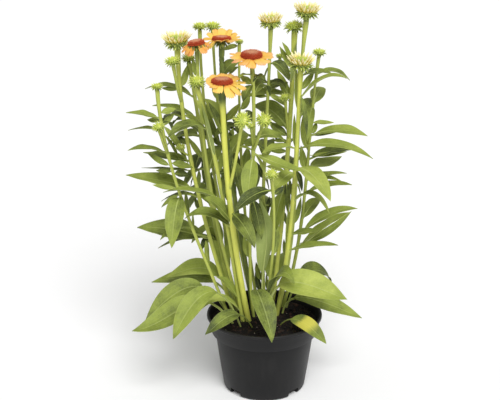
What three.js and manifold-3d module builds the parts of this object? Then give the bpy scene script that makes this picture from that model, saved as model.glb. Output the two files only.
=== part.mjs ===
// A coneflower in its nursery pot, in millimetres, +Z up.
// The origin is on the pot's axis, on the flat middle of the pot's underside.
// +X is the plant's right and -Y its front.
import * as THREE from 'three';
import Module from 'manifold-3d';
import { mergeVertices } from 'three/addons/utils/BufferGeometryUtils.js';

const wasm = await Module();
wasm.setup();

// Pot, a thin moulded shell with a stepped collar.
const POT_HEIGHT = 130;
const RIM_RADIUS = 96;
const COLLAR_LOW_RADIUS = 88.5;
const COLLAR_LOW = 100;
const BODY_TOP_RADIUS = 82.5;
const BASE_RADIUS = 69;
const BASE_ROUNDING = 6;
const POT_WALL = 2.2;
const POT_SIDES = 32;
const NOTCH_COUNT = 4;
const NOTCH_WIDTH = 27;
const NOTCH_HEIGHT = 7;
const NOTCH_INNER_RADIUS = 53;

// Compost, filled to just below the rim.
const COMPOST_TOP = 117;
const COMPOST_CROWN = 119;
const COMPOST_RADIUS = 88.4;
const CROWN_RADIUS = 38;
const SEAT_GAP = 0.3;

// Stems stand in the compost and are thickest at the foot.
const FOOT_LEVEL = 104;
const SOCKET_LENGTH = 26;
const STEM_CLEARANCE = 0.8;
const STALK_CLEARANCE = 1.2;
const STEM_SIDES = 6;
const STEM_STEPS = 8;
const TWIG_SIDES = 5;
const TWIG_STEPS = 3;

// Leaves are thin blades on a short stalk, folded a little along the midrib.
const LEAF_STEPS = 5;
const LEAF_THICKNESS = 1.3;
const LEAF_STALK = 3.2;
const LEAF_FOLD = 0.22;
const STEM_LEAF_STALK_SHARE = 0.1;
const BASAL_STALK_SHARE = 0.34;
const BASAL_STEPS = 9;

// Open flowers: a flat domed cone, one ring of ray petals and green bracts under it.
const CONE_HEIGHT = 8;
const CONE_SIDES = 12;
const RING_THICKNESS = 1.6;
const CONE_SEAT = 2.3;
const PETAL_TUCK = 5;
const PETAL_WIDTH = 11;
const PETAL_THICKNESS = 1.2;
const PETAL_STEPS = 2;
const BRACT_RADIUS = 14;
const HEAD_TEETH = 7;
const COLLAR_HEIGHT = 3;

// Young heads: a cup of bracts with short upright petals standing in it.
const CUP_HEIGHT = 5;
const YOUNG_PETAL = 15;
const YOUNG_DOME = 13.5;
const YOUNG_SHOULDER = 11;

const GREEN = { roughness: 0.55, metalness: 0 };
const COLOURS = {
  pot: new THREE.MeshStandardMaterial({ color: 0x343434, roughness: 0.5, metalness: 0 }),
  compost: new THREE.MeshStandardMaterial({ color: 0x241a15, roughness: 0.95, metalness: 0 }),
  stem: new THREE.MeshStandardMaterial({ color: 0x9aa84a, ...GREEN }),
  leaf: new THREE.MeshStandardMaterial({ color: 0x7d9a45, ...GREEN }),
  bud: new THREE.MeshStandardMaterial({ color: 0xb9c45e, ...GREEN }),
  cone: new THREE.MeshStandardMaterial({ color: 0xa5462a, roughness: 0.8, metalness: 0 }),
  ray: new THREE.MeshStandardMaterial({ color: 0xf2b45c, roughness: 0.6, metalness: 0 }),
  youngRay: new THREE.MeshStandardMaterial({ color: 0xe4cf62, roughness: 0.6, metalness: 0 }),
};

// Every stem passes through four points at equal steps of height: its foot, lower, upper and tip.
// thick is its radius at the foot and at the tip.
// A leaf leaves its stem at a height and ends at its tip. lift raises the peak of its arch, and
// roll turns the blade about its midrib.
// A twig carries a side bud.
const STEMS = [
  {
    foot: [-24, -6], lower: [-46, -20], upper: [-60, -35], tip: [-66, -50, 523], thick: [4.8, 4.4],
    leaves: [
      { height: 287, tip: [-128, -28, 306], lift: 36, width: 24, roll: 20 },
      { height: 296, tip: [-95, -66, 353], lift: 16, width: 28, roll: 50 },
      { height: 316, tip: [-16, -84, 277], lift: 18, width: 26, roll: -20 },
    ],
    twigs: [{ height: 352, tip: [-36, -62, 472], lift: -16, thick: 2.3 }],
  },
  {
    foot: [-17, 30], lower: [-40, 28], upper: [-61, 25], tip: [-68, 24, 577], thick: [3.9, 3.9],
    leaves: [
      { height: 437, tip: [-97, 52, 482], lift: 13, width: 26, roll: 25 },
      { height: 392, tip: [-24, 62, 420], lift: 20, width: 26, roll: -20 },
      { height: 398, tip: [-36, 6, 320], lift: 26, width: 24, roll: 0 },
    ],
    twigs: [],
  },
  {
    foot: [-16, 8], lower: [-24, -5], upper: [-19, -15], tip: [-21.5, -25, 556], thick: [2.6, 2.8],
    leaves: [
      { height: 536, tip: [-40, -62, 541], lift: 6, width: 12, roll: 0 },
      { height: 531, tip: [0, -2, 524], lift: 12, width: 12, roll: 0 },
      { height: 503, tip: [8, 16, 494], lift: 40, width: 22, roll: -20 },
      { height: 432, tip: [34, 6, 420], lift: 24, width: 26, roll: -20 },
      { height: 411, tip: [60, -52, 391], lift: -6, width: 21, roll: -25 },
      { height: 406, tip: [-28, -66, 340], lift: 26, width: 26, roll: 0 },
    ],
    twigs: [
      { height: 415, tip: [-4, -46, 468], lift: -8, thick: 2.2 },
      { height: 421, tip: [-22, -40, 456], lift: -4, thick: 1.8 },
    ],
  },
  {
    foot: [-34, 22], lower: [-73, 12], upper: [-96, -2], tip: [-105, -14, 578], thick: [3.2, 2.4],
    leaves: [
      { height: 372, tip: [-72, 74, 398], lift: 22, width: 24, roll: 0 },
    ],
    twigs: [],
  },
  {
    foot: [-47, 14], lower: [-91, 18], upper: [-123, 18], tip: [-137, 20, 568], thick: [3.3, 3.2],
    leaves: [
      { height: 388, tip: [-196, 26, 400], lift: -2, width: 28, roll: 5 },
      { height: 456, tip: [-164, 68, 442], lift: 22, width: 26, roll: 10 },
      { height: 372, tip: [-203, 52, 366], lift: 0, width: 14, roll: 0 },
      { height: 340, tip: [-225, 22, 363], lift: 3, width: 32, roll: 20 },
      { height: 326, tip: [-171, 42, 311], lift: 18, width: 18, roll: 0 },
      { height: 256, tip: [-213, 48, 263], lift: 8, width: 42, roll: 24 },
    ],
    twigs: [
      { height: 484, tip: [-142, -4, 547], lift: -10, thick: 2.4 },
      { height: 396, tip: [-133, -2, 411], lift: -2, thick: 1.6 },
    ],
  },
  {
    foot: [-34, -8], lower: [-54, -8], upper: [-75, -20], tip: [-105, -29, 520], thick: [3.6, 3.2],
    leaves: [
      { height: 452, tip: [-150, -46, 444], lift: 27, width: 26, roll: 10 },
      { height: 396, tip: [-98, -40, 500], lift: -8, width: 15, roll: 0 },
      { height: 331, tip: [-161, -34, 352], lift: 20, width: 24, roll: 0 },
    ],
    twigs: [],
  },
  {
    foot: [-43, 40], lower: [-79, 42], upper: [-100, 38], tip: [-120, 30, 545], thick: [3.6, 2.8],
    leaves: [
      { height: 488, tip: [-192, 44, 500], lift: 23, width: 24, roll: 5 },
      { height: 454, tip: [-180, 34, 475], lift: 10, width: 24, roll: 8 },
      { height: 424, tip: [-162, 74, 398], lift: 18, width: 30, roll: 15 },
      { height: 392, tip: [-118, 92, 344], lift: 28, width: 28, roll: 10 },
      { height: 300, tip: [-130, 106, 312], lift: 32, width: 28, roll: 5 },
      { height: 368, tip: [-134, 86, 322], lift: 22, width: 26, roll: 5 },
      { height: 334, tip: [-126, 76, 288], lift: 18, width: 26, roll: 10 },
      { height: 268, tip: [-122, 40, 238], lift: 14, width: 24, roll: 10 },
      { height: 246, tip: [-182, 78, 214], lift: 19, width: 24, roll: 0 },
      { height: 226, tip: [-98, 84, 279], lift: 8, width: 28, roll: 0 },
    ],
    twigs: [],
  },
  {
    foot: [-28, 48], lower: [-68, 60], upper: [-94, 60], tip: [-103, 50, 592], thick: [3.1, 2.3],
    leaves: [
      { height: 410, tip: [-150, 110, 424], lift: 26, width: 28, roll: 0 },
      { height: 262, tip: [-60, 138, 268], lift: 30, width: 30, roll: 0 },
    ],
    twigs: [],
  },
  {
    foot: [-16, 58], lower: [-50, 76], upper: [-73, 82], tip: [-84, 78, 587], thick: [3.2, 2.0],
    leaves: [
      { height: 468, tip: [-70, 132, 482], lift: 24, width: 24, roll: 0 },
      { height: 380, tip: [-112, 98, 368], lift: 14, width: 26, roll: 15 },
      { height: 350, tip: [-106, 102, 318], lift: 20, width: 26, roll: 10 },
      { height: 330, tip: [-66, 140, 322], lift: 30, width: 30, roll: 0 },
    ],
    twigs: [],
  },
  {
    foot: [2, 42], lower: [-3, 42], upper: [2, 41], tip: [8.5, 42, 597], thick: [3.5, 2.4],
    leaves: [
      { height: 496, tip: [38, 78, 502], lift: 14, width: 24, roll: -10 },
      { height: 541, tip: [38, 18, 518], lift: 22, width: 20, roll: -20 },
      { height: 380, tip: [8, 124, 390], lift: 30, width: 26, roll: 0 },
      { height: 420, tip: [20, 86, 404], lift: 16, width: 20, roll: -10 },
      { height: 399, tip: [-34, 18, 418], lift: 14, width: 24, roll: 10 },
      { height: 318, tip: [-12, 12, 246], lift: 22, width: 26, roll: 0 },
      { height: 306, tip: [38, 84, 256], lift: 20, width: 26, roll: 0 },
      { height: 290, tip: [22, 132, 276], lift: 34, width: 32, roll: 0 },
    ],
    twigs: [],
  },
  {
    foot: [20, 34], lower: [47, 40], upper: [54, 46], tip: [64, 48, 607], thick: [3.8, 2.8],
    leaves: [
      { height: 521, tip: [106, 38, 526], lift: 8, width: 20, roll: -10 },
      { height: 400, tip: [169, -22, 403], lift: 31, width: 22, roll: -15 },
      { height: 448, tip: [88, 116, 462], lift: 24, width: 26, roll: 0 },
    ],
    twigs: [],
  },
  {
    foot: [10, 26], lower: [28, 44], upper: [40, 60], tip: [47, 70, 587], thick: [3.7, 3.9],
    leaves: [
      { height: 494, tip: [50, 60, 572], lift: -6, width: 14, roll: 0 },
      { height: 483, tip: [-34, 46, 484], lift: 16, width: 22, roll: 15 },
      { height: 427, tip: [-20, 88, 460], lift: 27, width: 38, roll: 30 },
      { height: 330, tip: [14, 16, 258], lift: 30, width: 24, roll: 0 },
      { height: 404, tip: [40, 112, 386], lift: 18, width: 24, roll: 10 },
      { height: 352, tip: [54, 132, 356], lift: 28, width: 30, roll: 0 },
      { height: 160, tip: [26, 112, 184], lift: 44, width: 38, roll: 10 },
    ],
    twigs: [
      { height: 412, tip: [32, 28, 484], lift: -4, thick: 2.0 },
      { height: 520, tip: [24, 74, 542], lift: -4, thick: 1.3 },
    ],
  },
  {
    foot: [18, 12], lower: [39, 8], upper: [49, 4], tip: [54, 0, 540], thick: [4.0, 3.1],
    leaves: [
      { height: 413, tip: [-6, -30, 414], lift: 13, width: 20, roll: 10 },
      { height: 373, tip: [9, -46, 354], lift: 14, width: 24, roll: 15 },
      { height: 494, tip: [124, -22, 531], lift: 31, width: 20, roll: -5 },
      { height: 381, tip: [100, -72, 350], lift: 28, width: 34, roll: 0 },
      { height: 322, tip: [102, -32, 316], lift: 46, width: 20, roll: 0 },
      { height: 266, tip: [88, 2, 275], lift: 0, width: 20, roll: -10 },
      { height: 238, tip: [117, -34, 263], lift: 7, width: 24, roll: -10 },
    ],
    twigs: [],
  },
  {
    foot: [28, 46], lower: [60, 56], upper: [73, 60], tip: [86, 64, 548], thick: [3.2, 2.0],
    leaves: [
      { height: 520, tip: [136, 52, 512], lift: 20, width: 20, roll: -10 },
      { height: 469, tip: [98, 128, 484], lift: 10, width: 24, roll: -10 },
      { height: 465, tip: [66, -4, 425], lift: 30, width: 15, roll: 0 },
      { height: 419, tip: [165, 30, 426], lift: 17, width: 28, roll: -15 },
      { height: 378, tip: [144, 78, 389], lift: 10, width: 24, roll: -10 },
      { height: 366, tip: [132, 112, 368], lift: -6, width: 26, roll: -12 },
      { height: 342, tip: [136, 54, 356], lift: 6, width: 20, roll: -10 },
      { height: 322, tip: [142, 26, 345], lift: 11, width: 24, roll: -15 },
      { height: 272, tip: [98, 104, 296], lift: 14, width: 22, roll: -15 },
      { height: 248, tip: [157, 66, 290], lift: 26, width: 24, roll: -15 },
      { height: 224, tip: [138, 8, 304], lift: 8, width: 32, roll: -25 },
    ],
    twigs: [],
  },
  {
    foot: [-52, -4], lower: [-102, -4], upper: [-146, -4], tip: [-168, 0, 507], thick: [2.7, 2.5],
    leaves: [
      { height: 464, tip: [-216, -20, 477], lift: 2, width: 22, roll: 8 },
      { height: 444, tip: [-218, 16, 439], lift: 7, width: 15, roll: 0 },
      { height: 407, tip: [-214, -30, 419], lift: 12, width: 18, roll: 5 },
      { height: 332, tip: [-147, -66, 270], lift: 50, width: 30, roll: 0 },
      { height: 282, tip: [-166, -50, 278], lift: 15, width: 20, roll: 0 },
    ],
    twigs: [{ height: 405, tip: [-165, -22, 449], lift: -6, thick: 2.0 }],
  },
  {
    foot: [-2, 20], lower: [9, -10], upper: [14, -34], tip: [9, -62, 385], thick: [2.8, 2.0],
    leaves: [
      { height: 362, tip: [-48, -88, 338], lift: 18, width: 26, roll: 20 },
      { height: 152, tip: [47, -62, 207], lift: 66, width: 32, roll: -25 },
    ],
    twigs: [],
  },
  {
    foot: [-8, 56], lower: [-30, 62], upper: [-40, 66], tip: [-41, 62, 567], thick: [3.0, 1.9],
    leaves: [
      { height: 540, tip: [-70, 40, 519], lift: 14, width: 22, roll: 25 },
      { height: 440, tip: [-62, 36, 449], lift: 16, width: 22, roll: 10 },
      { height: 432, tip: [-84, 58, 414], lift: 18, width: 24, roll: 15 },
      { height: 420, tip: [-12, 96, 392], lift: 16, width: 26, roll: -10 },
      { height: 396, tip: [-66, 34, 356], lift: 22, width: 24, roll: 0 },
      { height: 300, tip: [-8, 140, 330], lift: 20, width: 28, roll: 0 },
    ],
    twigs: [],
  },
];

// Basal leaves rise from the crown on long stalks. Each passes through four points at equal steps:
// its foot in the compost, the knee where the blade begins, its belly and its tip.
const BASAL_LEAVES = [
  { foot: [-42, 32], knee: [-76, 31, 182], belly: [-117, 34, 195], tip: [-166, 36, 178], width: 38, roll: 20 },
  { foot: [-40, 46], knee: [-84, 54, 162], belly: [-135, 68, 165], tip: [-195, 78, 151], width: 42, roll: 20 },
  { foot: [-54, 6], knee: [-102, -2, 176], belly: [-152, -20, 168], tip: [-195, -40, 132], width: 40, roll: 30 },
  { foot: [-46, -14], knee: [-100, -34, 165], belly: [-151, -60, 153], tip: [-212, -84, 136], width: 44, roll: 26 },
  { foot: [-36, -24], knee: [-78, -62, 194], belly: [-117, -92, 181], tip: [-144, -120, 139], width: 36, roll: 24 },
  { foot: [-16, -28], knee: [-42, -56, 152], belly: [-70, -80, 151], tip: [-95, -98, 136], width: 26, roll: 25 },
  { foot: [8, -12], knee: [23, -26, 190], belly: [76, -46, 197], tip: [131, -64, 182], width: 50, roll: -36 },
  { foot: [36, 44], knee: [61, 60, 163], belly: [94, 73, 175], tip: [117, 84, 145], width: 36, roll: -20 },
  { foot: [30, 20], knee: [50, 18, 148], belly: [101, 4, 145], tip: [163, -4, 121], width: 38, roll: -20 },
  { foot: [2, -22], knee: [-14, -48, 191], belly: [0, -90, 172], tip: [10, -114, 130], width: 35, roll: 0 },
  { foot: [22, -12], knee: [43, -48, 140], belly: [69, -72, 139], tip: [97, -96, 119], width: 28, roll: -20 },
  { foot: [4, 8], knee: [-3, -2, 203], belly: [3, -10, 264], tip: [-10, -24, 339], width: 34, roll: 5 },
];

// lean tips a head towards the front and to the right, in degrees.
// cone is the radius of its cone and petal the length of its ray petals. rays are the petals, each
// as its heading, 0 to the right and 90 to the back, the height of its tip over its base and, where
// it is shorter than the others, its share of their length.
const FLOWERS = [
  {
    stem: 4,
    lean: [3, -8],
    cone: 13,
    petal: 19,
    rays: [
      [-50, -13], [-20, -10, 0.8], [8, -6, 0.8], [36, -5, 0.9], [66, -5], [96, -5], [126, -5],
      [154, -6], [182, -9], [208, -12], [232, -14],
    ],
  },
  {
    stem: 2,
    lean: [0, 0],
    cone: 15.5,
    petal: 20.5,
    rays: [
      [-14, 2], [14, 4], [40, 8], [64, 13], [88, 14], [112, 13], [138, 8], [164, 0], [190, -8],
      [216, -12], [250, 3, 0.8], [282, 4, 0.8], [316, 2],
    ],
  },
  {
    stem: 3,
    lean: [5, 0],
    cone: 17,
    petal: 22.5,
    rays: [
      [-90, -9], [-62, -5], [-36, -4], [-8, 1], [20, 2], [48, 0], [76, -2],
      [104, -2], [132, 0], [160, 2], [188, 1], [214, -4], [242, -5],
    ],
  },
  {
    stem: 1,
    lean: [2, 0],
    cone: 17,
    petal: 24,
    rays: [
      [-62, -17, 1.05], [-36, -14, 1.1], [-10, -8, 1.1], [16, -1], [42, 5, 0.9], [66, 7, 0.9],
      [92, 7, 0.9], [118, 7, 0.8], [146, 5, 0.65], [174, 3, 0.55], [201, 0, 0.5], [226, -4, 0.5],
      [254, -10, 0.7],
    ],
  },
];
const YOUNG_HEADS = [
  { stem: 5, lean: [6, -3], radius: 16.5 },
  { stem: 10, lean: [4, -2], radius: 14 },
  { stem: 11, lean: [3, 4], radius: 15.5 },
  { stem: 13, lean: [9, 2], radius: 15 },
];
// A bud sits on a stem's tip, or on one of the stem's twigs.
const BUDS = [
  { stem: 8, lean: [6, 0], radius: 11 },
  { stem: 9, lean: [4, 4], radius: 12.5 },
  { stem: 12, lean: [8, -4], radius: 16 },
  { stem: 14, lean: [6, 4], radius: 10.5 },
  { stem: 5, twig: 0, lean: [10, -6], radius: 12 },
  { stem: 7, lean: [8, 0], radius: 10.5 },
  { stem: 6, lean: [14, 0], radius: 12.5 },
  { stem: 15, lean: [8, -4], radius: 9 },
  { stem: 1, twig: 0, lean: [50, 8], radius: 13 },
  { stem: 3, twig: 0, lean: [45, 10], radius: 12 },
  { stem: 12, twig: 0, lean: [12, -6], radius: 9 },
  { stem: 15, twig: 0, lean: [24, -8], radius: 9.5 },
  { stem: 16, lean: [30, 4], radius: 10 },
];

const UP = new THREE.Vector3(0, 0, 1);

function toSolid(geometry) {
  const bare = geometry.clone();
  bare.deleteAttribute('normal');
  bare.deleteAttribute('uv');
  const merged = mergeVertices(bare, 1e-4);
  const vertProperties = Float32Array.from(merged.attributes.position.array);
  const triVerts = Uint32Array.from(merged.index.array);
  return new wasm.Manifold(new wasm.Mesh({ numProp: 3, vertProperties, triVerts }));
}

function toGeometry(solid) {
  const mesh = solid.getMesh();
  const geometry = new THREE.BufferGeometry();
  geometry.setAttribute('position', new THREE.BufferAttribute(mesh.vertProperties, 3));
  geometry.setIndex(new THREE.BufferAttribute(mesh.triVerts, 1));
  geometry.computeVertexNormals();
  return geometry;
}

function joined(geometries) {
  return toGeometry(geometries.map(toSolid).reduce((whole, piece) => whole.add(piece)));
}

// A cylinder of unit size is the blank. place moves each of its points, given how far along it
// lies (0 to 1) and where it lies on the unit circle.
function shaped(sides, steps, place) {
  const geometry = new THREE.CylinderGeometry(1, 1, 1, sides, steps);
  const position = geometry.attributes.position;
  for (let i = 0; i < position.count; i += 1) {
    const point = place(position.getY(i) + 0.5, position.getX(i), position.getZ(i));
    position.setXYZ(i, point.x, point.y, point.z);
  }
  return geometry;
}

// The cubic curve that passes through four points at equal steps.
function curveThrough(a, b, c, d) {
  const second = a.clone().multiplyScalar(-5).addScaledVector(b, 18).addScaledVector(c, -9);
  const third = a.clone().multiplyScalar(2).addScaledVector(b, -9).addScaledVector(c, 18);
  second.addScaledVector(d, 2).divideScalar(6);
  third.addScaledVector(d, -5).divideScalar(6);
  return new THREE.CubicBezierCurve3(a, second, third, d);
}

function stemCurve(stem) {
  const rise = stem.tip[2] - FOOT_LEVEL;
  const foot = new THREE.Vector3(...stem.foot, FOOT_LEVEL);
  const lower = new THREE.Vector3(...stem.lower, FOOT_LEVEL + rise / 3);
  const upper = new THREE.Vector3(...stem.upper, FOOT_LEVEL + (rise * 2) / 3);
  return curveThrough(foot, lower, upper, new THREE.Vector3(...stem.tip));
}

function pointOnStem(stem, height) {
  return stemCurve(stem).getPoint((height - FOOT_LEVEL) / (stem.tip[2] - FOOT_LEVEL));
}

// A round bar along a curve, with its radius given at both ends.
function bar(curve, firstRadius, lastRadius, sides, steps) {
  return shaped(sides, steps, (t, x, z) => {
    const along = curve.getTangent(t);
    const side = new THREE.Vector3(1, 0, 0).addScaledVector(along, -along.x).normalize();
    const radius = THREE.MathUtils.lerp(firstRadius, lastRadius, t);
    const point = curve.getPoint(t).addScaledVector(side, x * radius);
    return point.addScaledVector(side.cross(along), z * radius);
  });
}

function arch(base, tip, lift) {
  const peak = base.clone().lerp(tip, 0.5).addScaledVector(UP, lift);
  return new THREE.QuadraticBezierCurve3(base, peak, tip);
}

// The blade's share of its full width at t, with a stalk over the first part.
function bladeShare(t, stalkShare, fullness, taper) {
  const s = (t - stalkShare) / (1 - stalkShare);
  if (s <= 0 || s >= 1) return 0;
  const widest = fullness / (fullness + taper);
  const most = widest ** fullness * (1 - widest) ** taper;
  return (s ** fullness * (1 - s) ** taper) / most;
}

// A thin blade along an arch. Its midrib stays in one upright plane.
function blade(curve, { width, thickness, stalk, roll, fold, steps, shareAt }) {
  const heading = curve.getPoint(1).sub(curve.getPoint(0));
  const level = new THREE.Vector3(heading.y, -heading.x, 0).normalize();
  const turn = THREE.MathUtils.degToRad(roll);
  return shaped(4, steps, (t, x, z) => {
    const upright = level.clone().cross(curve.getTangent(t)).normalize();
    const side = level.clone().multiplyScalar(Math.cos(turn)).addScaledVector(upright, Math.sin(turn));
    const face = upright.multiplyScalar(Math.cos(turn)).addScaledVector(level, -Math.sin(turn));
    const half = Math.max(stalk / 2, (width / 2) * shareAt(t));
    const deep = THREE.MathUtils.lerp(stalk, thickness, Math.min(1, t * 2)) / 2;
    const lift = z * deep + Math.abs(x) * Math.max(0, half - stalk / 2) * fold;
    return curve.getPoint(t).addScaledVector(side, x * half).addScaledVector(face, lift);
  });
}

function leafBlade(curve, leaf, stalkShare, steps) {
  return blade(curve, {
    width: leaf.width,
    thickness: LEAF_THICKNESS,
    stalk: LEAF_STALK,
    roll: leaf.roll,
    fold: LEAF_FOLD,
    steps,
    shareAt: (t) => (t > 0.999 ? 0 : bladeShare(t, stalkShare, 0.7, 1.0)),
  });
}

function twigCurve(stem, twig) {
  return arch(pointOnStem(stem, twig.height), new THREE.Vector3(...twig.tip), twig.lift);
}

// The direction in which a head faces.
function facing([front, right]) {
  const towards = Math.tan(THREE.MathUtils.degToRad(front));
  const sideways = Math.tan(THREE.MathUtils.degToRad(right));
  return new THREE.Vector3(sideways, -towards, 1).normalize();
}

function turnedTo(geometry, place, lean) {
  const turn = new THREE.Quaternion().setFromUnitVectors(UP, facing(lean));
  return geometry.applyQuaternion(turn).translate(place.x, place.y, place.z);
}

// A round closed profile, spun about Z. Each point is a radius and a height.
function spun(points, sides) {
  const profile = points.map(([radius, height]) => new THREE.Vector2(radius, height));
  return new THREE.LatheGeometry(profile, sides).rotateX(Math.PI / 2);
}

// The same, with every second column of points drawn in to leave a ring of teeth. The core, up to
// its own radius, stays round.
function toothed(points, teeth, depth, core) {
  const geometry = spun(points, teeth * 2);
  const position = geometry.attributes.position;
  for (let i = 0; i < position.count; i += 1) {
    const angle = Math.atan2(position.getY(i), position.getX(i));
    const column = Math.round((angle / Math.PI + 2) * teeth) % 2;
    const radius = Math.hypot(position.getX(i), position.getY(i));
    if (column === 1 && radius > core) {
      const share = 1 - depth;
      position.setXYZ(i, position.getX(i) * share, position.getY(i) * share, position.getZ(i));
    }
  }
  return geometry;
}

// The swollen end of a stalk, whose flat top carries a head.
function stalkEnd(radius) {
  const swell = radius + 1.2;
  return spun([[0, -4], [radius, -4], [swell, COLLAR_HEIGHT], [0, COLLAR_HEIGHT]], STEM_SIDES);
}

// Green bracts under an open flower, with a flat top.
function bractRing() {
  const low = [[0, -6], [5, -6], [BRACT_RADIUS, -4.5], [BRACT_RADIUS, -3]];
  return toothed([...low, [8, COLLAR_HEIGHT], [0, COLLAR_HEIGHT]], HEAD_TEETH, 0.4, 8.5);
}

function headSeat(place, lean) {
  return place.clone().addScaledVector(facing(lean), COLLAR_HEIGHT + SEAT_GAP);
}

function petal(heading, start, length, rise) {
  const turn = THREE.MathUtils.degToRad(heading);
  const out = new THREE.Vector3(Math.cos(turn), Math.sin(turn), 0);
  const reach = start + Math.sqrt(length ** 2 - rise ** 2);
  const base = out.clone().multiplyScalar(start).setZ(PETAL_THICKNESS * 0.7);
  const tip = out.clone().multiplyScalar(reach).setZ(PETAL_THICKNESS * 0.7 + rise);
  return blade(arch(base, tip, 1.5 - rise * 0.3), {
    width: PETAL_WIDTH,
    thickness: PETAL_THICKNESS,
    stalk: PETAL_THICKNESS * 1.3,
    roll: 0,
    fold: -0.12,
    steps: PETAL_STEPS,
    shareAt: (t) => (t > 0.999 ? 0.4 : bladeShare(t, -0.05, 0.5, 0.3)),
  });
}

function rayRing(head) {
  const start = head.cone - PETAL_TUCK;
  const ring = spun([[0, 0], [start + 1.5, 0], [start + 1.5, RING_THICKNESS], [0, RING_THICKNESS]], CONE_SIDES);
  const petals = head.rays.map(([heading, rise, share = 1]) => (
    petal(heading, start, head.petal * share, rise)
  ));
  return joined([ring, ...petals]);
}

function flowerCone(head) {
  const low = CONE_SEAT + SEAT_GAP;
  const side = [[0, low], [head.cone - 4, low], [head.cone, low + 3.5], [head.cone - 1, low + 6]];
  const top = [[head.cone - 6, low + CONE_HEIGHT], [0, low + CONE_HEIGHT - 1]];
  return spun([...side, ...top], CONE_SIDES);
}

// A head that is just opening: a cup of bracts, and short upright petals around a green middle.
function youngCup(radius) {
  const low = [[0, 0], [4.5, 0], [radius * 0.95, -1.5], [radius, 1]];
  return toothed([...low, [radius * 0.8, CUP_HEIGHT], [0, CUP_HEIGHT]], HEAD_TEETH, 0.2, 5);
}

function youngRays(radius) {
  const low = CUP_HEIGHT + SEAT_GAP;
  const high = low + YOUNG_PETAL;
  const side = [[0, low], [radius * 0.78, low], [radius * 1.22, high], [radius * 1.1, high]];
  const top = [[radius * 0.85, low + YOUNG_SHOULDER], [0, low + YOUNG_DOME]];
  return toothed([...side, ...top], HEAD_TEETH, 0.12, 0);
}

function budHead(radius) {
  const low = [[0, 0], [3.2, 0], [radius, radius * 0.35], [radius * 0.9, radius * 0.65]];
  return toothed([...low, [radius * 0.55, radius * 1.05], [0, radius * 1.2]], HEAD_TEETH - 1, 0.22, 3.3);
}

function potShell() {
  const outer = [
    [0, 0],
    [BASE_RADIUS - BASE_ROUNDING, 0],
    [BASE_RADIUS - BASE_ROUNDING * 0.3, BASE_ROUNDING * 0.3],
    [BASE_RADIUS, BASE_ROUNDING],
    [BODY_TOP_RADIUS, COLLAR_LOW],
    [COLLAR_LOW_RADIUS, COLLAR_LOW],
    [RIM_RADIUS - 2, POT_HEIGHT - 5],
    [RIM_RADIUS, POT_HEIGHT - 4],
    [RIM_RADIUS, POT_HEIGHT],
  ];
  const inner = [
    [RIM_RADIUS - POT_WALL - 1.6, POT_HEIGHT],
    [COLLAR_LOW_RADIUS - POT_WALL, COLLAR_LOW + POT_WALL],
    [BODY_TOP_RADIUS - POT_WALL, COLLAR_LOW - 1],
    [BASE_RADIUS - POT_WALL, BASE_ROUNDING + 1],
    [BASE_RADIUS - BASE_ROUNDING - 1, POT_WALL + 0.4],
    [0, POT_WALL + 0.4],
  ];
  const reach = BASE_RADIUS - NOTCH_INNER_RADIUS + 4;
  let shell = toSolid(spun([...outer, ...inner], POT_SIDES));
  for (let i = 0; i < NOTCH_COUNT; i += 1) {
    const notch = new THREE.BoxGeometry(reach, NOTCH_WIDTH, NOTCH_HEIGHT * 2);
    notch.translate(NOTCH_INNER_RADIUS + reach / 2, 0, 0);
    notch.rotateZ(((i + 0.5) * Math.PI * 2) / NOTCH_COUNT);
    shell = shell.subtract(toSolid(notch));
  }
  return toGeometry(shell);
}

// A straight hole around the first stretch of a stem or leaf stalk that stands in the compost.
function socket(curve, steps, radius) {
  const start = curve.getPoint(0);
  const along = curve.getPoint(1 / steps).sub(start).normalize();
  const low = start.clone().addScaledVector(along, -SEAT_GAP * 3);
  const high = start.clone().addScaledVector(along, SOCKET_LENGTH);
  return bar(new THREE.LineCurve3(low, high), radius, radius, STEM_SIDES, 1);
}

function compostBody(sockets) {
  const gap = SEAT_GAP;
  const profile = [
    [0, POT_WALL + 0.4 + gap],
    [BASE_RADIUS - BASE_ROUNDING - 1 - gap, POT_WALL + 0.4 + gap],
    [BASE_RADIUS - POT_WALL - gap, BASE_ROUNDING + 1 + gap],
    [BODY_TOP_RADIUS - POT_WALL - gap, COLLAR_LOW - 1 + gap],
    [COLLAR_LOW_RADIUS - POT_WALL - gap, COLLAR_LOW + POT_WALL + gap],
    [COMPOST_RADIUS, COMPOST_TOP - 2],
    [COMPOST_RADIUS * 0.8, COMPOST_TOP],
    [CROWN_RADIUS, COMPOST_CROWN],
    [0, COMPOST_CROWN],
  ];
  const body = toSolid(spun(profile, POT_SIDES));
  return toGeometry(sockets.reduce((whole, hole) => whole.subtract(toSolid(hole)), body));
}

const plant = new THREE.Group();

function addPiece(name, geometry, material) {
  const mesh = new THREE.Mesh(geometry, material);
  mesh.name = name;
  plant.add(mesh);
  return mesh;
}

function basalCurve(leaf) {
  const foot = new THREE.Vector3(...leaf.foot, FOOT_LEVEL + 2);
  const points = [leaf.knee, leaf.belly, leaf.tip].map((point) => new THREE.Vector3(...point));
  return curveThrough(foot, ...points);
}

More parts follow.
